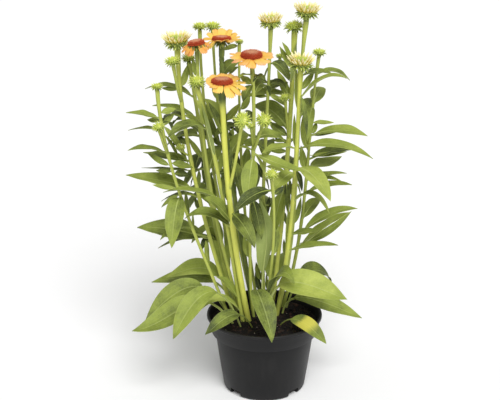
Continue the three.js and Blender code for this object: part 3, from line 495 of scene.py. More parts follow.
class Finish:
    """A material whose nodes are written as sums. Constants go on the shader's own sockets."""

    def __init__(self, name, **constants):
        self.material = bpy.data.materials.new(name)
        self.material.use_nodes = True
        self.tree = self.material.node_tree
        self.shader = self.tree.nodes["Principled BSDF"]
        for socket, constant in constants.items():
            self.shader.inputs[socket.replace("_", " ")].default_value = constant

    def node(self, kind, settings=None, inputs=None, output=0):
        """Adds a node, sets it, feeds its sockets with values or links, and gives one output."""
        made = self.tree.nodes.new(kind)
        for name, setting in (settings or {}).items():
            setattr(made, name, setting)
        for name, fed in (inputs or {}).items():
            if isinstance(fed, Value):
                self.tree.links.new(fed.socket, made.inputs[name])
            else:
                made.inputs[name].default_value = fed
        return Value(self, made.outputs[output])

    def place(self):
        return self.node("ShaderNodeTexCoord", output="Object")

    def parts(self, vector):
        split = self.node("ShaderNodeSeparateXYZ", inputs={0: vector})
        return [Value(self, socket) for socket in split.socket.node.outputs]

    def surface(self):
        """How far along the piece, and how far across or around it."""
        return self.parts(self.node("ShaderNodeTexCoord", output="UV"))[:2]

    def vector(self, x, y, z=0.0):
        return self.node("ShaderNodeCombineXYZ", inputs={0: x, 1: y, 2: z})

    def given(self, name):
        """A number that is stored on the piece's points."""
        return self.node("ShaderNodeAttribute", {"attribute_name": name}, output="Fac")

    def rise(self, value, low, high):
        """Goes smoothly from 0 to 1 as the value goes from low to high."""
        ends = {0: value, 1: low, 2: high}
        return self.node("ShaderNodeMapRange", {"interpolation_type": "SMOOTHSTEP"}, ends)

    def mix(self, factor, first, second):
        """Goes from the first colour to the second as the factor goes from 0 to 1."""
        pair = {0: factor, 6: self.opaque(first), 7: self.opaque(second)}
        return self.node("ShaderNodeMix", {"data_type": "RGBA"}, pair, output=2)

    @staticmethod
    def opaque(colour):
        return colour if isinstance(colour, Value) else (*colour, 1.0)

    def noise(self, vector, scale, detail=2.0):
        fed = {"Vector": vector, "Scale": scale, "Detail": detail}
        return self.node("ShaderNodeTexNoise", inputs=fed)

    def cells(self, vector, scale):
        """The distance to the edge of the nearest of many cells."""
        fed = {"Vector": vector, "Scale": scale}
        return self.node("ShaderNodeTexVoronoi", {"feature": "DISTANCE_TO_EDGE"}, fed)

    def close(self, colour, roughness, height, depth, strength=0.6):
        """Feeds the shader, and gives back the finished material."""
        fed = {"Strength": strength, "Distance": depth, "Height": height}
        relief = self.node("ShaderNodeBump", inputs=fed)
        for name, fed in (("Base Color", colour), ("Roughness", roughness), ("Normal", relief)):
            self.tree.links.new(fed.socket, self.shader.inputs[name])
        return self.material


def pot_plastic(look):
    finish = Finish("pot_plastic", Specular_IOR_Level=0.27)
    place = finish.place()
    x, y, height = finish.parts(place)
    grain = finish.noise(place, 1800, 1)
    clouds = finish.noise(place, 22, 4)
    flow = finish.noise(finish.vector(x * 90, y * 90, height * 7), 1, 3)
    # Painted highlight: the band round the top of the lip is painted lighter. The blotches and the
    # band at the foot are dust.
    lip = finish.rise(height, look.height - 0.006, look.height - 0.001)
    dust = finish.rise(clouds + flow * 0.5, 0.72, 1.0)
    foot = 1 - finish.rise(height + clouds * 0.02, 0.008, 0.03)
    dust_and_highlight_mask = (lip * 0.55 + dust * 0.3 + foot * 0.25).least(1)
    colour = finish.mix(dust_and_highlight_mask, look.plastic, look.scuffed)
    roughness = 0.36 + clouds * 0.14 + dust_and_highlight_mask * 0.14
    return finish.close(colour, roughness, grain * 0.5 + flow * 0.6, 0.0002, 0.5)


def compost_bed(look):
    finish = Finish("compost_bed", Specular_IOR_Level=0.25)
    place = finish.place()
    coarse = finish.noise(place, 130, 5)
    fine = finish.noise(place, 620, 3)
    bark = finish.rise(coarse, 0.52, 0.68) * finish.rise(fine, 0.35, 0.6)
    colour = finish.mix(bark, look.dark, look.brown)
    return finish.close(colour, 0.82 + fine * 0.15, coarse + fine * 0.5, 0.002, 0.9)


def compost_crumbs(look):
    finish = Finish("compost_crumbs", Specular_IOR_Level=0.3)
    place = finish.place()
    fine = finish.noise(place, 900, 3)
    tone = finish.given("tone")
    colour = finish.mix(finish.rise(tone + fine * 0.3, 0.55, 1.1), look.dark, look.brown)
    return finish.close(colour, 0.7 + fine * 0.25, fine, 0.0006, 0.8)


def mineral_specks(look):
    finish = Finish("mineral_specks", Specular_IOR_Level=0.3)
    fine = finish.noise(finish.place(), 1400, 2)
    colour = finish.mix(finish.rise(fine, 0.35, 0.7), look.brown, look.pale)
    return finish.close(colour, 0.8 + fine * 0.15, fine, 0.0004, 0.7)


def stem_skin(look):
    finish = Finish("stem_skin", Specular_IOR_Level=0.35)
    along, around = finish.surface()
    place = finish.place()
    streaks = finish.noise(finish.vector(along * 6, around * 9), 1, 3)
    blotch = finish.noise(place, 45, 3)
    speckle = finish.noise(place, 900, 1)
    # A low tone paints shade and a high one sunlight, besides the stems' own greens and yellows.
    tone = finish.given("tone") + streaks.swing(0.5) + blotch.swing(0.5)
    colour = finish.mix(finish.rise(tone, 0, 0.6), look.deep, look.green)
    colour = finish.mix(finish.rise(tone, 0.55, 1.1), colour, look.yellow)
    foot = 1 - finish.rise(along + blotch * 0.1, 0.06, 0.16)
    colour = finish.mix(foot * 0.4, colour, look.deep)
    return finish.close(colour, 0.48 + streaks * 0.15, streaks + speckle * 0.35, 0.0004)


def leaf_stalk(look):
    finish = Finish("leaf_stalk", Specular_IOR_Level=0.35)
    along, _ = finish.surface()
    place = finish.place()
    blotch = finish.noise(place, 120, 2)
    tone = finish.given("tone") + blotch * 0.4
    colour = finish.mix(finish.rise(tone, 0.1, 1.1), look.fresh, look.veins)
    colour = finish.mix(finish.rise(along, 0.2, 0.9) * 0.5, colour, look.underside)
    return finish.close(colour, 0.5 + blotch * 0.1, blotch, 0.0003)


def leaf_face(look, name, below):
    """A leaf's upper face, with its veins pressed in, or its paler lower one, with them proud."""
    finish = Finish(name, Specular_IOR_Level=0.2 if below else 0.3)
    along, across = finish.surface()
    side = abs(across * 2 - 1)
    place = finish.place()
    blotch = finish.noise(place, 38, 3)
    mottle = finish.noise(place, 320, 3)
    midrib = 1 - finish.rise(side, 0.015, 0.085)
    inner = abs(side - VEIN_PLACES[0] + along * 0.05)
    outer = abs(side - VEIN_PLACES[1] + along * 0.12)
    side_veins = 1 - finish.rise(inner.least(outer), 0.008, 0.045)
    side_veins = side_veins * (1 - finish.rise(along, 0.7, 0.98))
    net = finish.cells(finish.vector(along * 24, side * 3.2 + along * 5, across), 1)
    net = 1 - finish.rise(net, 0.0, 0.09)
    # The tone, given for each leaf and varied by noise, runs from the dark colour, which also
    # paints shade onto leaves inside the clump, to the pale one, which also paints light onto lit
    # leaves.
    tone = finish.given("tone") + blotch.swing(1) + mottle.swing(0.3)
    if below:
        colour = finish.mix(finish.rise(tone, -0.2, 1.1), look.deep, look.underside)
    else:
        colour = finish.mix(finish.rise(tone, -0.1, 0.6), look.deep, look.fresh)
        colour = finish.mix(finish.rise(tone, 0.5, 1.15), colour, look.pale)
    lines = (midrib * 0.36 + side_veins * 0.12 + net * 0.1).least(0.9)
    colour = finish.mix(lines, colour, look.veins)
    colour = finish.mix(finish.rise(side, 0.93, 1.0) * 0.2, colour, look.veins)
    stretch = along + blotch.swing(0.3)
    band = finish.rise(stretch, 0.3, 0.42) * (1 - finish.rise(stretch, 0.54, 0.72))
    colour = finish.mix((finish.given("ageing") * band * 0.8).least(1), colour, look.aged)
    relief = midrib + side_veins * 0.6 + net * 0.3
    height = relief + mottle * 0.2 if below else mottle * 0.25 - relief
    return finish.close(colour, 0.46 + mottle * 0.2 + blotch * 0.06, height, 0.0005)


def petal_face(look):
    finish = Finish("petal", Specular_IOR_Level=0.25)
    along, across = finish.surface()
    place = finish.place()
    streaks = finish.noise(finish.vector(along * 3, across * 16), 1, 3)
    blotch = finish.noise(place, 160, 2)
    tone = finish.given("tone") + streaks.swing(0.35) + blotch.swing(0.5)
    colour = finish.mix(finish.rise(tone, 0, 1), look.orange, look.gold)
    throat = 1 - finish.rise(along + streaks.swing(0.35), 0.02, 0.42)
    colour = finish.mix(throat * 0.6, colour, look.throat)
    blush = finish.given("ageing") * finish.rise(along + blotch * 0.3, 0.5, 1.1)
    colour = finish.mix(blush, colour, look.blush)
    return finish.close(colour, 0.5 + streaks * 0.15, streaks, 0.0006, 0.7)


def cone_spines(look):
    finish = Finish("cone_spines", Specular_IOR_Level=0.3)
    along, _ = finish.surface()
    tone = finish.given("tone")
    grain = finish.noise(finish.place(), 500, 2)
    colour = finish.mix(finish.rise(along + grain.swing(0.4), 0.45, 1.05), look.cone, look.ember)
    # Painted highlight: the spines are painted paler towards the middle and top of the cone.
    colour = finish.mix(finish.rise(tone + grain.swing(0.3), 0.55, 1.05) * 0.8, colour, look.crown)
    return finish.close(colour, 0.55 + grain * 0.2, grain, 0.0003)


def green_scales(look):
    finish = Finish("green_scales", Specular_IOR_Level=0.3)
    along, across = finish.surface()
    side = abs(across * 2 - 1)
    grain = finish.noise(finish.place(), 320, 2)
    tone = finish.given("tone") + grain.swing(0.5)
    colour = finish.mix(finish.rise(tone, 0, 0.6), look.shade, look.bract)
    colour = finish.mix(finish.rise(tone + along * 0.4, 0.6, 1.3), colour, look.bright)
    keel = 1 - finish.rise(side, 0.05, 0.3)
    colour = finish.mix(keel * 0.25, colour, look.bright)
    pale_tip = finish.rise(along, 0.65, 1) * finish.rise(tone, 0.3, 0.8) * 0.6
    colour = finish.mix(pale_tip, colour, look.cream)
    return finish.close(colour, 0.5 + grain * 0.15, grain + keel * 0.5, 0.0003)


def young_petal(look):
    finish = Finish("young_petal", Specular_IOR_Level=0.25)
    along, across = finish.surface()
    streaks = finish.noise(finish.vector(along * 3, across * 10), 1, 2)
    tone = finish.given("tone") + streaks.swing(0.4)
    # Darker towards the foot: partly the petal's own colour, partly painted shade between the
    # petals.
    colour = finish.mix(finish.rise(along + streaks.swing(0.3), 0.0, 0.4), look.foot, look.tongue)
    colour = finish.mix(finish.rise(along + tone * 0.3, 0.5, 1.0), colour, look.cream)
    return finish.close(colour, 0.5 + streaks * 0.15, streaks, 0.0004)


def studio_floor(look):
    finish = Finish("studio_floor", Specular_IOR_Level=0.1)
    grain = finish.noise(finish.place(), 3, 2)
    colour = finish.mix(grain * 0.1, look.floor, (1.0, 1.0, 1.0))
    return finish.close(colour, 0.9 + grain * 0.05, grain, 0.0001, 0.1)


def clear():
    """Leaves edit mode and deselects everything."""
    if bpy.context.mode != "OBJECT":
        bpy.ops.object.mode_set(mode="OBJECT")
    bpy.ops.object.select_all(action="DESELECT")


def hold(*pieces):
    """Selects these pieces alone, and makes the first the active one."""
    clear()
    for piece in pieces:
        piece.select_set(True)
    bpy.context.view_layer.objects.active = pieces[0]


@contextmanager
def editing(piece, kind="VERT"):
    """Opens a piece in edit mode with nothing picked, and closes it afterwards."""
    hold(piece)
    bpy.ops.object.mode_set(mode="EDIT")
    bpy.ops.mesh.select_mode(type=kind)
    bpy.ops.mesh.select_all(action="DESELECT")
    yield
    bpy.ops.object.mode_set(mode="OBJECT")


def pick(piece, test):
    """Picks the points whose place passes a test, with the faces between them."""
    mesh = bmesh.from_edit_mesh(piece.data)
    for point in mesh.verts:
        point.select_set(test(point.co))
    mesh.select_flush(True)
    bmesh.update_edit_mesh(piece.data)


def new_piece(name):
    """Names the primitive that was just added, and moves its place into its mesh."""
    piece = bpy.context.object
    piece.name = name
    bpy.ops.object.transform_apply()
    return piece


def smooth(piece, angle):
    """Shades a piece smooth, except across edges sharper than an angle in degrees."""
    hold(piece)
    bpy.ops.object.shade_smooth_by_angle(angle=math.radians(angle))


def dress(piece, angle, finish):
    """Shades a piece smooth and gives it its finish."""
    smooth(piece, angle)
    piece.data.materials.append(finish)


def mark(piece, tone, ageing=0.0):
    """Stores the tone and the ageing of every point, which the finishes read."""
    mesh = piece.data
    for name, given in (("tone", tone), ("ageing", ageing)):
        values = given if isinstance(given, list) else [given] * len(mesh.vertices)
        stored = mesh.attributes.get(name) or mesh.attributes.new(name, "FLOAT", "POINT")
        stored.data.foreach_set("value", values)


def copied(blank, name, scale=(1, 1, 1)):
    """A copy of a blank with its own mesh."""
    piece = blank.copy()
    piece.data = blank.data.copy()
    piece.name = name
    piece.data.transform(Matrix.Diagonal((*scale, 1)))
    bpy.context.collection.objects.link(piece)
    return piece


def cluster(name, copies):
    """One piece made of many copies: each its blank, its place, its tone and its ageing.

    Blanks that were bent for it are used up.
    """
    piece = copied(copies[0][0], name)
    mesh = bmesh.new()
    tones, ageings = [], []
    for blank, place, tone, ageing in copies:
        copy = blank.data.copy()
        copy.transform(place)
        mesh.from_mesh(copy)
        tones += [tone] * len(copy.vertices)
        ageings += [ageing] * len(copy.vertices)
        bpy.data.meshes.remove(copy)
    mesh.to_mesh(piece.data)
    mesh.free()
    mark(piece, tones, ageings)
    discard(*{blank.name: blank for blank, *_ in copies if BENT in blank.name}.values())
    return piece


def joined(name, *pieces):
    """Joins pieces into the first of them."""
    hold(*pieces)
    bpy.ops.object.join()
    pieces[0].name = name
    return pieces[0]


def discard(*blanks):
    for blank in blanks:
        bpy.data.objects.remove(blank)


def enter(piece, slot, *nodes):
    """Lets a finished piece ride on the plant, and hides the CAD nodes it stands for."""
    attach(piece, BODY)
    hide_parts(*nodes)


def finish_of(maker, look, *more):
    """The finish that a maker makes, made once for all the pieces that share it."""
    name = more[0] if more else maker.__name__
    return bpy.data.materials.get(name) or maker(look, *more)


def lance(share, full, point):
    """The width of a lance-shaped outline, 1 at its widest, at a share of its length."""
    widest = full / (full + point)
    greatest = widest**full * (1 - widest) ** point
    return max(share, 0) ** full * max(1 - share, 0) ** point / greatest


def ease(value, low, high):
    """Goes smoothly from 0 to 1 as a value goes from low to high."""
    share = min(max((value - low) / (high - low), 0), 1)
    return share * share * (3 - 2 * share)


def blade(name, places, rows, width, rise, wave=None):
    """A flat blade one unit long and one wide, with its columns at the given places along x.

    width gives its width at a place, rise the height of a row whose way from one edge to the other
    is counted from -1 to 1, and wave an added height at a place and a row.
    """
    clear()
    steps = len(places) - 1
    bpy.ops.mesh.primitive_grid_add(
        x_subdivisions=steps, y_subdivisions=rows, size=1, location=(0.5, 0, 0)
    )
    piece = new_piece(name)
    with editing(piece):
        for row in range(rows + 1):
            across = row / rows - 0.5
            pick(piece, lambda place: abs(place.y - across) < CLOSE)
            bpy.ops.transform.translate(value=(0, 0, rise(2 * across)))
        for column in range(1, steps) if wave else ():
            for row in (0, 1, rows - 1, rows):
                x, y = column / steps, row / rows - 0.5
                pick(piece, lambda place: abs(place.x - x) < CLOSE and abs(place.y - y) < CLOSE)
                bpy.ops.transform.translate(value=(0, 0, wave(places[column], 2 * y)))
        order = range(steps, -1, -1) if places[1] > 1 / steps else range(steps + 1)
        for column in order:
            x, wide = column / steps, width(places[column])
            pick(piece, lambda place: abs(place.x - x) < CLOSE)
            bpy.ops.transform.resize(value=(1, wide, wide), center_override=(x, 0, 0))
            bpy.ops.transform.translate(value=(places[column] - x, 0, 0))
        bpy.ops.mesh.select_all(action="SELECT")
        bpy.ops.mesh.remove_doubles(threshold=CLOSE)
    return piece


def thicken(piece, thickness, under=0):
    """Gives a flat blade its thickness, with its lower side in another of its finishes."""
    hold(piece)
    wall = piece.modifiers.new("wall", "SOLIDIFY")
    wall.thickness = thickness
    wall.offset = -1
    wall.material_offset = under
    bpy.ops.object.modifier_apply(modifier=wall.name)


def rod(name, sides, steps, girth):
    """A rod one unit long, whose radius at a place along x is given."""
    clear()
    bpy.ops.mesh.primitive_cylinder_add(
        vertices=sides,
        radius=1,
        depth=1,
        end_fill_type="TRIFAN",
        location=(0.5, 0, 0),
        rotation=(0, math.pi / 2, 0),
    )
    piece = new_piece(name)
    with editing(piece, "EDGE"):
        mesh = bmesh.from_edit_mesh(piece.data)
        for edge in mesh.edges:
            first, second = edge.verts
            edge.select_set(abs(first.co.x - second.co.x) > 0.5)
        mesh.select_flush_mode()
        bmesh.update_edit_mesh(piece.data)
        bpy.ops.mesh.subdivide(number_cuts=steps - 1)
    lay_pattern(piece)
    thin(piece, steps, girth)
    return piece


def thin(piece, steps, girth):
    """Resizes each ring of a rod."""
    with editing(piece):
        for ring in range(steps + 1):
            x, wide = ring / steps, girth(ring / steps)
            pick(piece, lambda place: abs(place.x - x) < CLOSE)
            bpy.ops.transform.resize(value=(1, wide, wide), center_override=(x, 0, 0))


def lay_pattern(piece):
    """Lays the pattern of a rod: along it from 0 to 1, and once around it."""
    layer = piece.data.uv_layers.active.data
    for face in piece.data.polygons:
        facing = math.atan2(face.center.z, face.center.y)
        for corner in face.loop_indices:
            place = piece.data.vertices[piece.data.loops[corner].vertex_index].co
            turn = math.remainder(math.atan2(place.z, place.y) - facing, math.tau)
            layer[corner].uv = (place.x, (facing + turn) / math.tau)


def turned(name, sides, profile):
    """A closed shape turned about the upright axis: a disc drawn out along radii and heights."""
    clear()
    (radius, height), *rest = profile
    bpy.ops.mesh.primitive_circle_add(
        vertices=sides, radius=radius, fill_type="NGON", location=(0, 0, height)
    )
    piece = new_piece(name)
    with editing(piece):
        bpy.ops.mesh.select_all(action="SELECT")
        for wide, high in rest:
            climb = {"value": (0, 0, high - height)}
            bpy.ops.mesh.extrude_region_move(TRANSFORM_OT_translate=climb)
            growth = wide / radius
            bpy.ops.transform.resize(value=(growth, growth, 1), center_override=(0, 0, high))
            radius, height = wide, high
        bpy.ops.mesh.select_all(action="SELECT")
        bpy.ops.mesh.normals_make_consistent(inside=False)
    return piece


def through(a, b, c, d):
    """The ends and handles of the curve that passes through four points at equal steps."""
    return a, (-5 * a + 18 * b - 9 * c + 2 * d) / 6, (2 * a - 9 * b + 18 * c - 5 * d) / 6, d


def arched(base, tip, lift, curl=0.0):
    """The ends and handles of an arch, whose tip droops more with its curl."""
    peak = (base + tip) / 2 + UP * lift
    return base, base + (peak - base) * (2 / 3), tip + (peak - tip) * (2 / 3) + UP * curl, tip


def along(path, share):
    """The point on a curve at a share of its way."""
    a, b, c, d = path
    rest = 1 - share
    return rest**3 * a + 3 * rest**2 * share * b + 3 * rest * share**2 * c + share**3 * d


def length_share(path, share):
    """The share of a curve's length that lies before a share of its way."""
    steps = 48
    points = [along(path, step / steps) for step in range(steps + 1)]
    lengths = [(after - before).length for before, after in zip(points, points[1:])]
    return sum(lengths[:round(share * steps)]) / sum(lengths)


def guide_curve():
    """The curve along which pieces are bent."""
    guide = bpy.data.objects.get("guide")
    if not guide:
        clear()
        bpy.ops.curve.primitive_bezier_curve_add()
        guide = bpy.context.object
        guide.name = "guide"
        guide.data.dimensions = "3D"
        guide.data.twist_mode = "Z_UP"
        guide.data.resolution_u = 24
        guide.data.use_stretch = True
        guide.data.use_deform_bounds = True
        for point in guide.data.splines[0].bezier_points:
            point.handle_left_type = point.handle_right_type = "FREE"
    return guide


def bend(piece, path, roll=0.0, twist=0.0):
    """Bends a piece along a curve, with a roll in degrees and a twist from its start to its end."""
    guide = guide_curve()
    start, start_handle, end_handle, end = path
    first, last = guide.data.splines[0].bezier_points
    first.handle_left, first.co, first.handle_right = start, start, start_handle
    last.handle_left, last.co, last.handle_right = end_handle, end, end
    first.tilt, last.tilt = -math.radians(roll - twist / 2), -math.radians(roll + twist / 2)
    hold(piece)
    deform = piece.modifiers.new("bend", "CURVE")
    deform.object = guide
    deform.deform_axis = "POS_X"
    bpy.ops.object.modifier_apply(modifier=deform.name)


def bent(blank, wide, path, roll=0.0, twist=0.0):
    """A copy of a blank of a given width, bent along a curve."""
    piece = copied(blank, blank.name + BENT, (1, wide, wide))
    bend(piece, path, roll, twist)
    return piece


def spot(*place):
    """A point in metres, from millimetres."""
    return Vector([number / 1000 for number in place])


def stem_path(number):
    """The curve of a stem, which passes its points at equal steps of height."""
    *levels, tip = STEMS[number - 1][:4]
    step = (tip[2] - FOOT_LEVEL) / 3
    stops = [spot(*level, FOOT_LEVEL + step * index) for index, level in enumerate(levels)]
    return through(*stops, spot(*tip))


def stem_point(number, height):
    """The point on a stem at a height in millimetres."""
    top = STEMS[number - 1][3][2]
    return along(stem_path(number), (height - FOOT_LEVEL) / (top - FOOT_LEVEL))


def twigs_of(number):
    return [twig for twig in TWIGS if twig[0] == number]


def twig_path(twig):
    number, height, tip, lift, _ = twig
    return arched(stem_point(number, height), spot(*tip), lift / 1000)


def seat(lean, stem, twig=None, lifted=0.0):
    """The place of a head on the tip of a stem or of one of its twigs, or lifted over it."""
    tip = spot(*(STEMS[stem - 1][3] if twig is None else twigs_of(stem)[twig][2]))
    front, right = (math.tan(math.radians(angle)) for angle in lean)
    facing = Vector((right, -front, 1)).normalized()
    turn = UP.rotation_difference(facing).to_matrix().to_4x4()
    return Matrix.Translation(tip + facing * (HEAD_SEAT / 1000 + lifted)) @ turn


def turn_to(heading):
    """A turn about the upright axis to a heading in degrees."""
    return Matrix.Rotation(math.radians(heading), 4, "Z")


def sown(profile, number):
    """Places spread evenly over a turned profile from its middle outwards.

    Each is its share of the way outwards and the frame of a spine that stands there along x.
    """
    bands = []
    for (r0, z0), (r1, z1) in zip(profile, profile[1:]):
        outward, upward = r1 - r0, z1 - z0
        bands.append(((r0 + r1) * math.hypot(outward, upward), r0, z0, outward, upward))
    whole = sum(band[0] for band in bands)
    for index in range(number):
        reach = (index + 0.5) / number * whole
        for area, radius, height, outward, upward in bands:
            if reach <= area:
                break
            reach -= area
        part = math.sqrt(reach / area) if radius == 0 else reach / area
        heading = index * GOLDEN_ANGLE
        side = Vector((math.cos(heading), math.sin(heading), 0))
        normal = (side * -upward + UP * outward).normalized()
        place = side * (radius + outward * part) + UP * (height + upward * part)
        stand = Matrix.Translation(place) @ normal.to_track_quat("X", "Z").to_matrix().to_4x4()
        yield (index + 0.5) / number, stand


def spine(name, finish, broad=0.5):
    """A small five-sided spine one unit long."""
    piece = rod(name, 5, 3, lambda x: broad * (1 - x) ** 0.6 + 0.04)
    dress(piece, 80, finish)
    return piece


def scale_blade(name, finish, full=0.6, point=0.9, columns=8, fold=0.3, thickness=0.14):
    """A small pointed bract one unit long and one wide."""
    places = [column / columns for column in range(columns + 1)]

    def width(x):
        return max(lance(x * 0.95 + 0.05, full, point), 0.04)

    piece = blade(name, places, 4, width, lambda y: fold * abs(y))
    thicken(piece, thickness)
    dress(piece, 70, finish)
    return piece


def bract_rows(blank, rows, place, chance):
    """Rings of bracts as copies: each ring its number, width, foot, tip, lift and tone."""
    copies = []
    for ring, (number, wide, foot, tip, lift, tone) in enumerate(rows):
        start, out, up = Vector((foot[0], 0, foot[1])), tip[0] - foot[0], tip[1] - foot[1]
        forms = []
        for _ in range(FORMS):
            reach = chance.uniform(0.86, 1.1)
            end = start + Vector((out, 0, up)) * reach
            end.z += chance.uniform(-0.12, 0.12) * abs(out)
            roll, twist = chance.uniform(-12, 12), chance.uniform(-25, 25)
            forms.append(bent(blank, wide, arched(start, end, lift), roll, twist))
        for index in range(number):
            heading = (index + chance.uniform(-0.3, 0.3)) * 360 / number + 137 * FORMS * ring
            shade = tone + chance.uniform(-0.15, 0.15)
            copies.append((forms[index % FORMS], place @ turn_to(heading), shade, 0.0))
    return copies


def stood(blank, places, place, length, wide, tones, chance):
    """Spines as copies over sown places, whose tone goes from the first to the last outwards."""
    copies = []
    for share, stand in places:
        long = length * chance.uniform(0.85, 1.15)
        tone = tones[0] + (tones[1] - tones[0]) * share + chance.uniform(-0.12, 0.12)
        shape = Matrix.Diagonal((long, wide, wide, 1))
        copies.append((blank, place @ stand @ shape, tone, 0.0))
    return copies


def inwards(crown):
    """A crown's profile from its edge to its middle, which a tiny disc closes."""
    return [(max(radius, 0.0002), height) for radius, height in reversed(crown)]


def middle(name, sides, profile, finish, place, tone):
    """The closed middle of a head, turned from its profile and put in its place."""
    piece = turned(name, sides, profile)
    dress(piece, 80, finish)
    piece.data.transform(place)
    mark(piece, tone)
    return piece


class CONEFLOWER_OT_studio(bpy.types.Operator):
    """Lays the floor, sets the soft light and places the camera"""

    bl_idname = "coneflower.studio"
    bl_label = "Studio"

    def execute(self, context):
        look = context.scene.coneflower_studio
        clear()
        bpy.ops.mesh.primitive_plane_add(size=1, location=(0, 0, 0))
        floor = new_piece("studio_floor_sheet")
        with editing(floor):
            bpy.ops.mesh.select_all(action="SELECT")
            bpy.ops.transform.resize(value=(FLOOR_SIDE, FLOOR_SIDE, 1))
            bpy.ops.mesh.subdivide(number_cuts=3)
        floor.data.materials.append(finish_of(studio_floor, look))

        world = bpy.data.worlds.new("studio_air")
        context.scene.world = world
        world.use_nodes = True
        air = world.node_tree.nodes["Background"]
        air.inputs["Color"].default_value = (1, 1, 1, 1)
        air.inputs["Strength"].default_value = look.sky

        clear()
        bpy.ops.object.light_add(type="SUN", rotation=[math.radians(angle) for angle in KEY_TURN])
        key = context.object.data
        key.energy = look.sun
        key.angle = math.radians(KEY_SPREAD)

        bpy.ops.object.camera_add(location=look.eye, rotation=(look.tilt, 0, 0))
        camera = context.object
        camera.data.sensor_width = SENSOR_WIDTH
        camera.data.lens = look.lens
        camera.data.clip_end = 100
        context.scene.camera = camera
        context.scene.view_settings.view_transform = "Standard"
        return {"FINISHED"}


class CONEFLOWER_OT_pot(bpy.types.Operator):
    """Turns the nursery pot and cuts its drain notches"""

    bl_idname = "coneflower.pot"
    bl_label = "Pot"

    def execute(self, context):
        look = context.scene.coneflower_pot
        wall, top, lip, ledge = look.wall, look.height, look.rim, look.collar_level
        base, body, rounding = look.base, look.body_top, look.base_rounding
        low, high = look.collar_low, look.collar_top
        profile = []
        for step in range(6):
            turn = math.radians(-90 + step * 16)
            side = base - rounding + rounding * math.cos(turn)
            profile.append((side, rounding + rounding * math.sin(turn)))
        flare = body - base
        profile += [(base + flare * 0.33, ledge * 0.35), (base + flare * 0.66, ledge * 0.67)]

        # Each point's radius, and how far out from it and up from its level it lies in millimetres.
        near_ledge = (
            (body, -0.6, -3), (body, -0.8, -0.6), (body, 0.6, 0), (low, -0.8, 0),
            (low, -0.1, 0.3), (low, 0.3, 1.2), (low + (high - low) * 0.5, 0, 12.5),
        )
        near_top = (
            (high, -0.3, -6.2), (high, 0, -5.2), (lip, -0.8, -4.8), (lip, -0.1, -4.1),
            (lip, 0, -3.1), (lip, -0.2, -1.2), (lip, -0.8, -0.3), (lip, -1.6, 0), (lip, -2.6, 0),
            (lip, -3.3, -0.3), (lip, -3.8, -1.2),
        )
        for level, ring in ((ledge, near_ledge), (top, near_top)):
            profile += [(radius + out / 1000, level + up / 1000) for radius, out, up in ring]
        profile += [
            (low - wall, ledge + 0.0022), (body - wall, ledge - 0.001),
            (base - wall, rounding + 0.001), (base - wall - 0.0048, 0.0026),
        ]
        pot = turned("nursery_pot", 144, profile)
        for corner in range(4):
            clear()
            bpy.ops.mesh.primitive_cube_add(size=1)
            notch = new_piece("notch")
            with editing(notch):
                bpy.ops.mesh.select_all(action="SELECT")
                size = (0.02, look.notch_width, 2 * look.notch_height)
                bpy.ops.transform.resize(value=size, center_override=(0, 0, 0))
                bpy.ops.transform.translate(value=(base - 0.006, 0, 0))
                pick(notch, lambda place: place.z > 0)
                bpy.ops.transform.resize(value=(1, 0.8, 1), center_override=(0, 0, 0))
                bpy.ops.mesh.bevel(offset=0.002, segments=3)
            notch.data.transform(turn_to(45 + 90 * corner))
            hold(pot)
            cut = pot.modifiers.new("cut", "BOOLEAN")
            cut.operation = "DIFFERENCE"
            cut.solver = "EXACT"
            cut.object = notch
            bpy.ops.object.modifier_apply(modifier=cut.name)
            discard(notch)
        dress(pot, 32, finish_of(pot_plastic, look))
        enter(pot, "pot", "pot")
        return {"FINISHED"}


